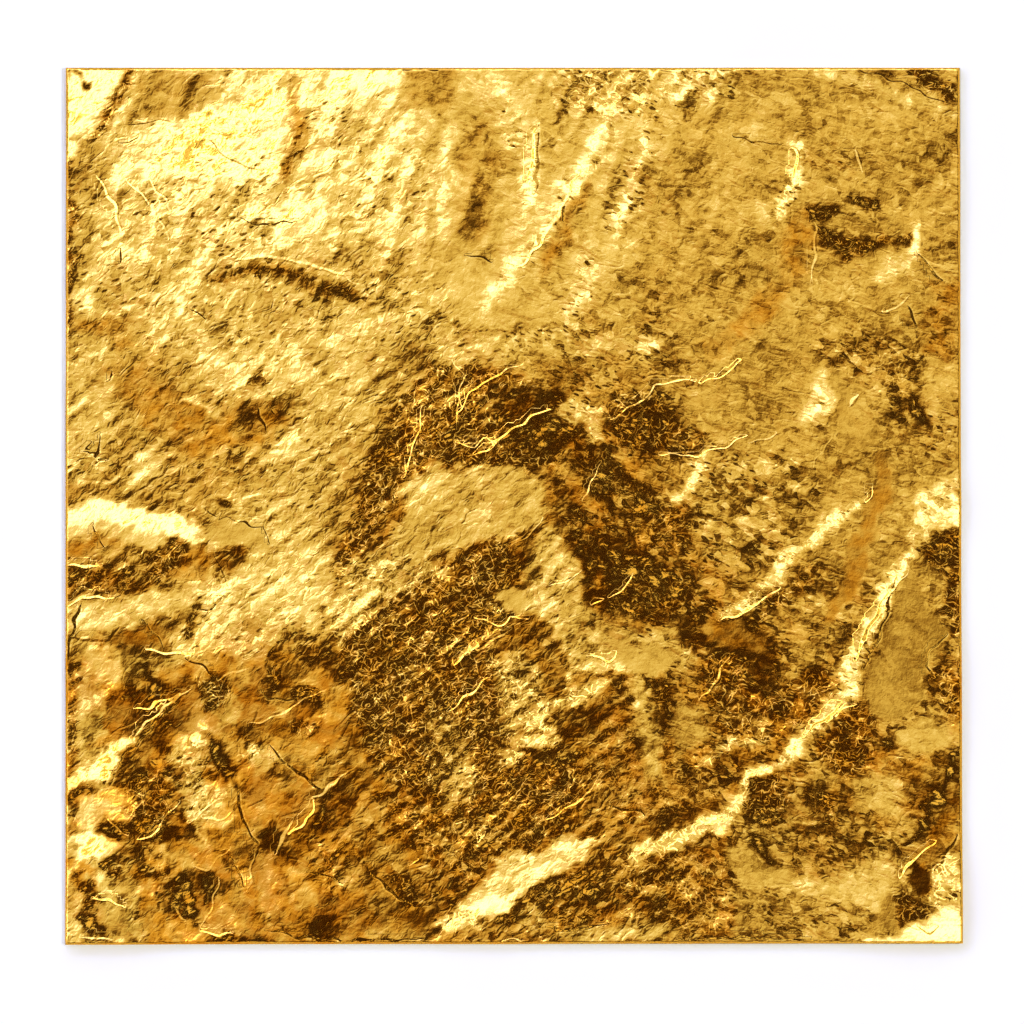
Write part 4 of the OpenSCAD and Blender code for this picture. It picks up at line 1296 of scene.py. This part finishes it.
@dataclass(frozen=True)
class GoldFoil:
    """Beaten gold: a mirror of deep yellow with a skin of fine crumples, and painted shade that turns it
    amber.

    Fields:
        painted: True where the mesh carries the lean, the painted shade and the crumple of each place.

    Scales count in waves or cells to a mm, lengths are in mm, and leans in radians. Ways are two directions
    in degrees, of creases that rise to the right and of ones that fall. A Step goes from its first to its
    second value, and from its third to its fourth result where it has them.
    """

    name: str
    painted: bool
    gold: tuple[float, ...] = (1.0, 0.57, 0.075, 1)
    # Painted shade colour: the amber that stands in for dim warm reflections
    painted_shade_colour: tuple[float, ...] = (0.92, 0.37, 0.02, 1)
    roughness: float = 0.15
    plain_crumple: float = 0.45
    plain_grain: float = 0.5
    # Painted shade where the mesh carries none
    plain_painted_shade: float = 0.1
    # Random mottling of the painted shade
    mottle_scale: float = 0.55
    mottle: Step = (0.36, 0.66, 0.45, 1.15)
    skin_scale: float = 3.0
    skin_height: float = 0.012
    ridges: tuple[Point, ...] = ((0.75, 0.085), (1.6, 0.045))
    ridge_ways: Point = (38, -25)
    ridge_stretch: float = 1.4
    ridge_calm: Step = (0.0, 0.45, 0.15, 1.0)
    chip_sizes: tuple[Chips, ...] = (Chips(0.80, 1.7, 0.075), Chips(2.0, 1.5, 0.14))
    chip_ways: Point = (35, -22)
    chip_bend: Point = (0.9, 0.45)
    chip_more: Step = (0.0, 0.7, 0.2, 1.2)
    chip_less: Step = (0.75, 1.0, 1.0, 0.45)
    dent_scale: float = 2.3
    dent_stretch: float = 2.8
    dent_lean: float = 0.16
    dent_ways: tuple[Point, ...] = ((24, 3.0), (-24, 9.0))
    dent_bend: Point = (1.3, 0.22)
    dent_size: Point = (0.50, -0.12)
    dent_edge: float = 0.04
    dent_more: Step = (0.22, 0.5)
    row_scale: float = 0.28
    row_part: Step = (0.42, 0.58)
    web_lean: float = 0.22
    web_stretch: float = 2.6
    web_bend: Point = (0.8, 0.9)
    web_part: Step = (0.40, 0.60)
    web_more: Step = (0.55, 0.95)
    web_sets: tuple[Web, ...] = (
        Web(58, 1.4, 0.052, 2.0),
        Web(-32, 1.6, 0.056, 8.0),
        Web(20, 1.1, 0.045, 5.0),
    )
    crease_line: Step = (0.5, 1.1)
    crease_calm: float = 0.85
    shadow_share: float = 0.3
    shadow_rise: Step = (0.8, 1.2)
    shadow_fall: Step = (1.5, 2.4)

    def value(self, graph: Graph, name: str, plain: float) -> Value:
        """Reads a painted value as a socket, or gives the plain one."""
        return graph.add("ShaderNodeAttribute", attribute_name=name).outputs["Fac"] if self.painted else plain

    def amount(self, graph: Graph) -> Value:
        """Gives how crumpled the foil is."""
        return self.value(graph, "crumple", self.plain_crumple)

    def grain(self, graph: Graph) -> Value:
        """Gives whether the foil's creases rise to the right, 0, or fall, 1."""
        return self.value(graph, "grain", self.plain_grain)

    def ridged(self, graph: Graph, place: Socket, scale: float) -> Socket:
        """Mixes creases that rise to the right with ones that fall, by the painted grain.

        Args:
            graph: The material's graph.
            place: Socket of the coordinates in mm.
            scale: Creases to a mm.

        Returns:
            The socket of the pattern, 0 along the creases.
        """
        stretch, (rise, fall) = self.ridge_stretch, self.ridge_ways
        rising = graph.noise(graph.turned(place, rise, stretch, scale), scale, 1.0, 0.8)
        falling = graph.noise(graph.turned(place, fall, stretch * 1.2, 7 + scale), scale * 1.1, 1.0, 0.8)
        mixed = graph.mix_numbers(self.grain(graph), rising, falling)
        return graph.math("ABSOLUTE", graph.math("SUBTRACT", mixed, 0.5))

    def crumples(self, graph: Graph, place: Socket) -> Socket:
        """Builds the height of the fine crumples.

        Args:
            graph: The material's graph.
            place: Socket of the coordinates in mm.

        Returns:
            The socket of the height in mm.
        """
        calm = graph.step(self.amount(graph), *self.ridge_calm)
        height = graph.math("MULTIPLY", graph.noise(place, self.skin_scale, 2.0, 0.4), self.skin_height)
        for scale, most in self.ridges:
            pattern = graph.math("MULTIPLY", self.ridged(graph, place, scale), calm)
            height = graph.math("MULTIPLY_ADD", pattern, most, height)
        return height

    def chips(self, graph: Graph, place: Socket) -> Socket:
        """Leans the small flat chips between the fine creases, each its own way.

        Args:
            graph: The material's graph.
            place: Socket of the coordinates in mm.

        Returns:
            The socket of the lean along X and Y.
        """
        grain, amount = self.grain(graph), self.amount(graph)
        bent, (rise, fall) = graph.bent(place, *self.chip_bend), self.chip_ways
        lean = None
        for size in self.chip_sizes:
            rising = graph.cells(graph.turned(bent, rise, size.stretch, size.scale), size.scale)
            falling = graph.cells(graph.turned(bent, fall, size.stretch, 5 + size.scale), size.scale)
            both = graph.mix(grain, rising.outputs["Color"], falling.outputs["Color"])
            part = graph.vector("MULTIPLY", graph.vector("SUBTRACT", both, HALF), (size.lean, size.lean, 0.0))
            lean = part if lean is None else graph.vector("ADD", lean, part)
        more, less = graph.step(amount, *self.chip_more), graph.step(amount, *self.chip_less)
        return graph.scaled(lean, graph.math("MULTIPLY", more, less))

    def dents(self, graph: Graph, place: Socket) -> Socket:
        """Finds the short dark dents that lie in rows along the grain.

        Args:
            graph: The material's graph.
            place: Socket of the coordinates in mm.

        Returns:
            The socket of their share, from 0 to 1.
        """
        bent = graph.bent(place, *self.dent_bend)
        marks = []
        for degrees, shift in self.dent_ways:
            cell = graph.cells(graph.turned(bent, degrees, self.dent_stretch, shift), self.dent_scale)
            size = graph.math("MULTIPLY_ADD", cell.outputs["Color"], *self.dent_size)
            inside = graph.math("SUBTRACT", cell.outputs["Distance"], size)
            marks.append(graph.step(inside, -self.dent_edge, self.dent_edge, *FALLS))
        mixed = graph.mix_numbers(self.grain(graph), *marks)
        rows = graph.noise(graph.turned(place, -10, 1.6, 2.0), self.row_scale, 1.0, 0.5)
        mixed = graph.math("MULTIPLY", mixed, graph.step(rows, *self.row_part))
        return graph.math("MULTIPLY", mixed, graph.step(self.amount(graph), *self.dent_more))

    def webs(self, graph: Graph, place: Socket) -> Socket:
        """Finds the thin bright lines that cross each other in the dark hollows.

        Args:
            graph: The material's graph.
            place: Socket of the coordinates in mm.

        Returns:
            The socket of their share, from 0 to 1.
        """
        bent = graph.bent(place, *self.web_bend)
        lines = None
        for web in self.web_sets:
            turned = graph.turned(bent, web.degrees, self.web_stretch, web.shift)
            edge = graph.cells(turned, web.scale, "DISTANCE_TO_EDGE").outputs["Distance"]
            line = graph.step(edge, 0.3 * web.width, web.width, *FALLS)
            part = graph.step(graph.noise(place, web.scale, 1.0, 0.1 * web.shift), *self.web_part)
            line = graph.math("MULTIPLY", line, part)
            lines = line if lines is None else graph.math("MAXIMUM", lines, line)
        return graph.math("MULTIPLY", lines, graph.step(self.amount(graph), *self.web_more))

    def painted_lean(self, graph: Graph, place: Socket, lean: Socket) -> Socket:
        """Adds the creases, dents and webs, and the lean that the painted mesh carries.

        Args:
            graph: The material's graph.
            place: Socket of the coordinates in mm.
            lean: Socket of the lean so far.

        Returns:
            The socket of the lean along X and Y.
        """
        side = self.value(graph, "crease", 0.0)
        line = graph.step(graph.math("ABSOLUTE", side), *self.crease_line, *FALLS)
        shadow = graph.band(side, self.shadow_rise, self.shadow_fall)
        share = graph.math("MULTIPLY_ADD", shadow, -self.shadow_share, line)
        tilt = graph.math("MULTIPLY", share, self.value(graph, "crease_lean", 0.0))
        tilt = graph.math("MULTIPLY_ADD", self.dents(graph, place), -self.dent_lean, tilt)
        tilt = graph.math("MULTIPLY_ADD", self.webs(graph, place), self.web_lean, tilt)
        carried = graph.add("ShaderNodeAttribute", attribute_name="lean").outputs["Vector"]
        calm = graph.math("MULTIPLY_ADD", line, -self.crease_calm, 1.0)
        rest = graph.scaled(graph.vector("ADD", lean, carried), calm)
        return graph.vector("ADD", rest, graph.scaled((-DIAGONAL, DIAGONAL, 0.0), tilt))

    def leaning_normal(self, graph: Graph, place: Socket) -> Socket:
        """Leans the foil by its chips, and by all that the painted mesh carries.

        Args:
            graph: The material's graph.
            place: Socket of the coordinates in mm.

        Returns:
            The normal's socket.
        """
        lean = self.chips(graph, place)
        if self.painted:
            lean = self.painted_lean(graph, place, lean)
        turned = graph.add("ShaderNodeVectorTransform", {"Vector": lean}, vector_type="VECTOR",
                           convert_from="OBJECT", convert_to="WORLD").outputs[0]
        normal = graph.add("ShaderNodeNewGeometry").outputs["Normal"]
        return graph.vector("NORMALIZE", graph.vector("ADD", normal, turned))

    def material(self) -> bpy.types.Material:
        """Builds the material.

        Returns:
            The new material.
        """
        made, graph = new_material(self.name)
        place = graph.place()
        bump = graph.bump(self.crumples(graph, place), MM, self.leaning_normal(graph, place))
        # Painted shade: the base colour turns from gold to amber by the painted value, mottled at random
        mottle = graph.step(graph.noise(place, self.mottle_scale, 3.0, 0.4), *self.mottle)
        painted_shade = graph.math("MULTIPLY", self.value(graph, "painted_shade", self.plain_painted_shade), mottle)
        colour = graph.mix(graph.add("ShaderNodeClamp", {0: painted_shade}).outputs[0], self.gold, self.painted_shade_colour)
        graph.surface({"Base Color": colour, "Metallic": 1.0, "Roughness": self.roughness, "Normal": bump})
        return made


@dataclass(frozen=True)
class Paper:
    """Tissue or card: matt fibre with a faint cloudiness."""

    name: str
    colour: Colour
    cloud: float
    fibre: float
    fibre_height: float
    roughness: float = 0.85
    gloss: float = 0.25

    def material(self) -> bpy.types.Material:
        """Builds the material.

        Returns:
            The new material.
        """
        made, graph = new_material(self.name)
        place = graph.place()
        strands = graph.noise(graph.turned(place, 12, 5.0), self.fibre, 3.0, 0.6)
        across = graph.noise(graph.turned(place, 97, 4.0, 5.0), self.fibre * 0.8, 3.0, 0.6)
        cloud = graph.math("ADD", graph.noise(place, 0.22, 4.0), graph.math("MULTIPLY", strands, 0.3))
        pale = tuple(min(1.0, c * 1.02) for c in self.colour) + (1,)
        shade = tuple(c * (1 - self.cloud) for c in self.colour) + (1,)
        colour = graph.mix(graph.step(cloud, 0.45, 0.85), pale, shade)
        bump = graph.bump(graph.math("ADD", strands, across), self.fibre_height * MM)
        graph.surface({"Base Color": colour, "Roughness": self.roughness, "Normal": bump,
                       "Specular IOR Level": self.gloss})
        return made


@dataclass(frozen=True)
class PaddingGlue:
    """Dried white padding glue, slightly yellow and brushed on along the edge."""

    colour: tuple[float, ...] = (0.88, 0.85, 0.74, 1)
    thin: tuple[float, ...] = (0.93, 0.92, 0.87, 1)
    roughness: float = 0.45
    stroke_height: float = 0.03

    def material(self) -> bpy.types.Material:
        """Builds the material.

        Returns:
            The new material.
        """
        made, graph = new_material("dried_glue")
        strokes = graph.noise(graph.turned(graph.place(), 90, 9.0), 2.2, 3.0, 0.4)
        colour = graph.mix(graph.step(strokes, 0.35, 0.7), self.colour, self.thin)
        bump = graph.bump(strokes, self.stroke_height * MM)
        graph.surface({"Base Color": colour, "Roughness": self.roughness, "Normal": bump})
        return made


class SheetTree:
    """The Geometry Nodes tree that trims every flat sheet of the booklet, with a slightly uneven edge."""

    INPUTS = (
        ("Low Corner", "NodeSocketVector"),
        ("High Corner", "NodeSocketVector"),
        ("Uneven", "NodeSocketFloat"),
        ("Seed", "NodeSocketFloat"),
        ("Across", "NodeSocketInt"),
        ("Along", "NodeSocketInt"),
        ("Material", "NodeSocketMaterial"),
    )
    EDGE_WAVES = 90.0
    MERGE = 1e-6

    def __init__(self) -> None:
        """Builds the tree: a grid, its uneven rim, its thickness, then its material."""
        self.tree = tree = bpy.data.node_groups.new("trimmed_sheet", "GeometryNodeTree")
        graph = Graph(tree)
        tree.interface.new_socket("Geometry", in_out="INPUT", socket_type="NodeSocketGeometry")
        for name, kind in self.INPUTS:
            tree.interface.new_socket(name, in_out="INPUT", socket_type=kind)
        tree.interface.new_socket("Geometry", in_out="OUTPUT", socket_type="NodeSocketGeometry")
        given = graph.add("NodeGroupInput").outputs
        size = graph.vector("SUBTRACT", given["High Corner"], given["Low Corner"])
        extent = graph.add("ShaderNodeSeparateXYZ", {0: size}).outputs
        keys = {"Size X": extent[0], "Size Y": extent[1],
                "Vertices X": given["Across"], "Vertices Y": given["Along"]}
        grid = graph.add("GeometryNodeMeshGrid", keys).outputs[0]
        middle = graph.vector("ADD", given["Low Corner"], graph.scaled(size, 0.5))
        seat = graph.add("ShaderNodeSeparateXYZ", {0: middle}).outputs
        base = graph.add("ShaderNodeSeparateXYZ", {0: given["Low Corner"]}).outputs
        centre = graph.add("ShaderNodeCombineXYZ", {0: seat[0], 1: seat[1], 2: base[2]}).outputs[0]
        where = graph.add("GeometryNodeInputPosition").outputs[0]
        drift = graph.add("ShaderNodeCombineXYZ", {2: given["Seed"]}).outputs[0]
        keys = {"Vector": graph.vector("ADD", where, drift), "Scale": self.EDGE_WAVES, "Detail": 4.0}
        centred = graph.vector("SUBTRACT", graph.add("ShaderNodeTexNoise", keys).outputs[1], HALF)
        stray = graph.scaled(graph.vector("MULTIPLY", centred, (1.0, 1.0, 0.0)), given["Uneven"])
        keys = {"Geometry": grid, "Offset": graph.vector("ADD", stray, centre)}
        moved = graph.add("GeometryNodeSetPosition", keys).outputs[0]
        flipped = graph.add("GeometryNodeFlipFaces", {0: moved}).outputs[0]
        lift = graph.add("ShaderNodeCombineXYZ", {2: extent[2]}).outputs[0]
        keys = {"Mesh": moved, "Offset": lift, "Offset Scale": 1.0, "Individual": False}
        risen = graph.add("GeometryNodeExtrudeMesh", keys).outputs[0]
        joined = graph.add("GeometryNodeJoinGeometry")
        for part in (risen, flipped):
            tree.links.new(part, joined.inputs[0])
        keys = {"Geometry": joined.outputs[0], "Distance": self.MERGE}
        closed = graph.add("GeometryNodeMergeByDistance", keys).outputs[0]
        real = graph.add("GeometryNodeRealizeInstances", {0: closed}).outputs[0]
        keys = {"Geometry": real, "Material": given["Material"]}
        graph.add("NodeGroupOutput", {0: graph.add("GeometryNodeSetMaterial", keys).outputs[0]})

    def sheet(self, name: str, low: Sequence[float], high: Sequence[float], material: bpy.types.Material,
              uneven: float, seed: float, across: int = 60, along: int = 60) -> bpy.types.Object:
        """Trims one sheet and bakes it to a plain mesh.

        Args:
            name: The piece's name.
            low: Lowest corner, in metres.
            high: Highest corner, in metres.
            material: Its finish.
            uneven: How far its edge strays, in mm.
            seed: Makes its edge another one.
            across: Points along X.
            along: Points along Y.

        Returns:
            The sheet's object, at the origin.
        """
        holder = new_object(name, bpy.data.meshes.new(name))
        modifier = holder.modifiers.new("trim", "NODES")
        modifier.node_group = self.tree
        values = {"Low Corner": tuple(low), "High Corner": tuple(high), "Uneven": uneven * MM, "Seed": seed,
                  "Across": across, "Along": along, "Material": material}
        for item in self.tree.interface.items_tree:
            if item.name in values:
                modifier[item.identifier] = values[item.name]
        ready = holder.evaluated_get(bpy.context.evaluated_depsgraph_get())
        mesh = bpy.data.meshes.new_from_object(ready)
        holder.modifiers.remove(modifier)
        holder.data = mesh
        mesh.name = name
        return holder


@dataclass
class PageBlock:
    """The ten tissue pages with their loose leaves, from the bottom up."""

    sheets: SheetTree
    tissue: bpy.types.Material
    loose_gold: bpy.types.Material
    uneven: float = 0.16
    leaf_uneven: float = 0.5
    leaf_points: int = 90

    def build(self) -> None:
        """Trims every page and every flat leaf, and rides them on their bodies."""
        for number in range(1, LEAF_COUNT + 1):
            low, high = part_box(f"interleaf_{number:02d}")
            page = self.sheets.sheet(f"tissue_page_{number:02d}", low, high, self.tissue, self.uneven,
                                     number * 0.37)
            finish_piece(page, f"page_{number:02d}", f"interleaf_{number:02d}")
            if number == 1:
                continue
            low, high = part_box(f"gold_leaf_{number:02d}")
            leaf = self.sheets.sheet(f"loose_leaf_{number:02d}", low, high, self.loose_gold,
                                     self.leaf_uneven, 5 + number * 0.41, self.leaf_points, self.leaf_points)
            finish_piece(leaf, f"leaf_{number:02d}", f"gold_leaf_{number:02d}")


@dataclass
class Cover:
    """The card cover: its back, its narrow spine, its front and the tissue guard on the front."""

    sheets: SheetTree
    card: bpy.types.Material
    tissue: bpy.types.Material
    uneven: float = 0.07
    guard_uneven: float = 0.16
    points: int = 60
    spine_points: int = 8

    def build(self) -> None:
        """Trims the cover's four pieces."""
        for number, name in enumerate(("back_cover", "cover_spine", "front_cover")):
            low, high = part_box(name)
            across = self.spine_points if name == "cover_spine" else self.points
            piece = self.sheets.sheet(f"card_{name}", low, high, self.card, self.uneven, 2.3 + number,
                                      across)
            finish_piece(piece, name, name)
        low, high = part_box("guard_sheet")
        guard = self.sheets.sheet("tissue_guard", low, high, self.tissue, self.guard_uneven, 7.7)
        finish_piece(guard, "front_cover", "guard_sheet")


@dataclass
class GluedEdge:
    """The film of padding glue down the left edge, in bands from page to page."""

    sheets: SheetTree
    glue: bpy.types.Material
    uneven: float = 0.03
    seed: float = 9.1
    across: int = 3
    along: int = 120

    def band(self, name: str, low: Sequence[float], high: Sequence[float]) -> bpy.types.Object:
        """Trims one band of the film.

        Args:
            name: The band's name.
            low: Lowest corner, in metres.
            high: Highest corner, in metres.

        Returns:
            The band's object.
        """
        return self.sheets.sheet(name, low, high, self.glue, self.uneven, self.seed, self.across,
                                 self.along)

    def build(self) -> None:
        """Makes the film's bands, each from the page below it to the page above, fixed where they lie, and a
        cap that rides on the top page.
        """
        low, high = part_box("spine_glue")
        levels = [low.z]
        names = ["back_cover"]
        for number in range(LEAF_COUNT, 0, -1):
            page_low, page_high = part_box(f"interleaf_{number:02d}")
            levels.append((page_low.z + page_high.z) / 2)
            names.append(f"page_{number:02d}")
        for index, (bottom, top) in enumerate(zip(levels, levels[1:])):
            band = self.band(f"glue_band_{index + 1:02d}", (low.x, low.y, bottom), (high.x, high.y, top))
            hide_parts("spine_glue")
            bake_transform(band)
        cap = self.band("glue_cap", (low.x, low.y, levels[-1]), high)
        finish_piece(cap, names[-1], "spine_glue")


def finish_piece(piece: bpy.types.Object, body: str, node: str) -> None:
    """Hides the CAD node that a piece replaces, and hangs the piece on the body that it moves with.

    Args:
        piece: The finished piece.
        body: The CAD body that it rides on.
        node: The CAD node that it replaces.
    """
    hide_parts(node)
    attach(piece, body)
    LOG.info("%s rides on %s with %d faces", piece.name, body, len(piece.data.polygons))


@dataclass
class Studio:
    """The pale floor, the light all round and the camera straight above.

    A Point that is named for a part of the light holds the shares of a direction between which it changes.
    The sweep gives the light by its direction, from -1 at the lower right to 1 at the upper left.
    """

    frame_width: float = 93.6
    camera_height: float = 1000.0
    view_x: float = 0.11
    view_y: float = -0.55
    sensor: float = 36.0
    clip: Point = (0.05, 20.0)
    floor_side: float = 6.0
    floor_drop: float = 0.02
    floor_colour: Colour = (0.93, 0.93, 0.87)
    floor_lift: float = 0.23
    warm_rise: Point = (0.0, 0.30)
    warm_fall: Point = (0.55, 0.75)
    warm_near_key: Point = (0.25, 0.45)
    warm_tint: Colour = (0.80, 0.64, 0.46)
    cool_fall: Point = (-0.45, -0.05)
    cool_share: float = 0.5
    cool_tint: Colour = (1.3, 1.3, 1.35)
    room_colour: tuple[float, ...] = (1.02, 0.98, 0.82, 1)
    gap_rise: Point = (0.30, 0.44)
    gap_fall: Point = (0.54, 0.66)
    gap_colour: tuple[float, ...] = (0.26, 0.23, 0.17, 1)
    horizon_fall: Point = (0.05, 0.2)
    horizon_colour: tuple[float, ...] = (0.75, 0.72, 0.64, 1)
    room_aside: Point = (0.48, 0.56)
    key_rise: Point = (0.79, 0.85)
    key_level: float = 11.5
    sweep: tuple[tuple[float, Colour], ...] = (
        (-0.72, (0.30, 0.26, 0.22)),
        (-0.58, (0.030, 0.015, 0.008)),
        (-0.26, (0.034, 0.018, 0.008)),
        (-0.17, (0.135, 0.085, 0.034)),
        (-0.10, (0.34, 0.26, 0.14)),
        (-0.05, (0.54, 0.50, 0.36)),
        (0.0, (0.70, 0.69, 0.62)),
        (0.08, (0.81, 0.86, 0.92)),
        (0.17, (0.91, 1.04, 1.5)),
        (0.26, (0.99, 1.20, 2.6)),
        (0.36, (1.6, 1.95, 5.6)),
        (0.46, (5.0, 5.6, 10.0)),
        (0.66, (10.4, 10.2, 10.6)),
        (0.78, (1.0, 1.0, 1.0)),
    )

    def swept(self, graph: Graph, key: Socket) -> Socket:
        """Gives the light of the sweep.

        Args:
            graph: The world's graph.
            key: Socket of the direction's share toward the key.

        Returns:
            The light's socket.
        """
        share = graph.add("ShaderNodeMapRange", {"Value": key, "From Min": -1.0, "From Max": 1.0}).outputs[0]
        ramp = graph.add("ShaderNodeValToRGB", {0: share})
        stops = ramp.color_ramp.elements
        while len(stops) > 1:
            stops.remove(stops[-1])
        for number, (place, colour) in enumerate(self.sweep):
            stop = stops[0] if number == 0 else stops.new((place + 1) / 2)
            stop.position = (place + 1) / 2
            stop.color = tuple(c / self.key_level for c in colour) + (1,)
        return graph.scaled(ramp.outputs[0], self.key_level)

    def world(self) -> None:
        """Lights the booklet: a bright key at the upper left, a dark card opposite it, a warm card at the
        lower left, and a plain pale studio all round."""
        world = bpy.data.worlds.new("studio")
        bpy.context.scene.world = world
        world.use_nodes = True
        graph = Graph(world.node_tree)
        way = graph.add("ShaderNodeTexCoord").outputs["Generated"]
        key, left, up = (
            graph.add("ShaderNodeVectorMath", {0: way, 1: axis}, operation="DOT_PRODUCT").outputs["Value"]
            for axis in ((-DIAGONAL, DIAGONAL, 0), (-DIAGONAL, -DIAGONAL, 0), (0, 0, 1))
        )
        light = self.swept(graph, key)
        warm = graph.band(left, self.warm_rise, self.warm_fall)
        warm = graph.math("MULTIPLY", warm, graph.step(key, *self.warm_near_key, *FALLS))
        light = graph.mix(warm, light, graph.vector("MULTIPLY", light, self.warm_tint))
        cool = graph.step(left, *self.cool_fall, self.cool_share, 0.0)
        light = graph.mix(cool, light, graph.vector("MULTIPLY", light, self.cool_tint))
        plain = graph.mix(graph.band(up, self.gap_rise, self.gap_fall), self.room_colour, self.gap_colour)
        plain = graph.mix(graph.step(up, *self.horizon_fall, *FALLS), plain, self.horizon_colour)
        aside = graph.step(graph.math("ABSOLUTE", left), *self.room_aside)
        outside = graph.math("MAXIMUM", aside, graph.step(up, *self.key_rise, *FALLS))
        plain = graph.mix(outside, light, plain)
        seen = graph.add("ShaderNodeLightPath").outputs["Is Camera Ray"]
        plain = graph.mix(seen, plain, (1.0, 1.0, 1.0, 1))
        shader = graph.add("ShaderNodeBackground", {"Color": plain, "Strength": 1.0}).outputs[0]
        graph.add("ShaderNodeOutputWorld", {"Surface": shader})

    def floor(self) -> None:
        """Lays the pale floor, with a little light of its own for what sees it."""
        half, drop = self.floor_side / 2, -self.floor_drop * MM
        mesh = bpy.data.meshes.new("floor")
        corners = [(x * half, y * half, drop) for x, y in ((-1, -1), (1, -1), (1, 1), (-1, 1))]
        mesh.from_pydata(corners, [], [(0, 1, 2, 3)])
        made, graph = new_material("pale_floor")
        rays = graph.add("ShaderNodeLightPath").outputs
        seen = graph.math("MAXIMUM", rays["Is Camera Ray"], rays["Is Glossy Ray"])
        seen = graph.math("MAXIMUM", seen, rays["Is Transmission Ray"])
        graph.surface({"Base Color": self.floor_colour + (1,), "Roughness": 1.0, "Specular IOR Level": 0.0,
                       "Emission Color": (1, 1, 1, 1),
                       "Emission Strength": graph.math("MULTIPLY", seen, self.floor_lift)})
        mesh.materials.append(made)
        new_object("floor", mesh)

    def camera(self) -> None:
        """Puts the camera straight above the booklet."""
        data = bpy.data.cameras.new("camera")
        data.sensor_width = self.sensor
        data.lens = self.sensor * self.camera_height / self.frame_width
        data.clip_start, data.clip_end = self.clip
        camera = bpy.data.objects.new("camera", data)
        camera.location = (self.view_x * MM, self.view_y * MM, self.camera_height * MM)
        bpy.context.collection.objects.link(camera)
        bpy.context.scene.camera = camera

    def build(self) -> None:
        """Sets up the whole studio."""
        self.camera()
        self.world()
        self.floor()
        bpy.context.scene.view_settings.view_transform = "Standard"


def main() -> None:
    """Builds the booklet piece by piece."""
    logging.basicConfig(level=logging.INFO, format="%(name)s: %(message)s")
    Studio().build()
    crinkled = GoldFoil("crinkled_foil", painted=True).material()
    loose = GoldFoil("loose_foil", painted=False).material()
    tissue = Paper("tissue_paper", (0.95, 0.94, 0.83), cloud=0.05, fibre=1.1, fibre_height=0.02).material()
    card = Paper("cover_card", (0.90, 0.89, 0.80), cloud=0.06, fibre=0.7, fibre_height=0.04).material()
    glue = PaddingGlue().material()
    low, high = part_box("gold_leaf_01")
    leaf = CrinkledLeaf().build(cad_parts["gold_leaf_01"], low.z / MM, high.z / MM)
    leaf.data.materials.append(crinkled)
    finish_piece(leaf, "leaf_01", "gold_leaf_01")
    sheets = SheetTree()
    PageBlock(sheets, tissue, loose).build()
    Cover(sheets, card, tissue).build()
    GluedEdge(sheets, glue).build()


if __name__ == "__main__":
    main()
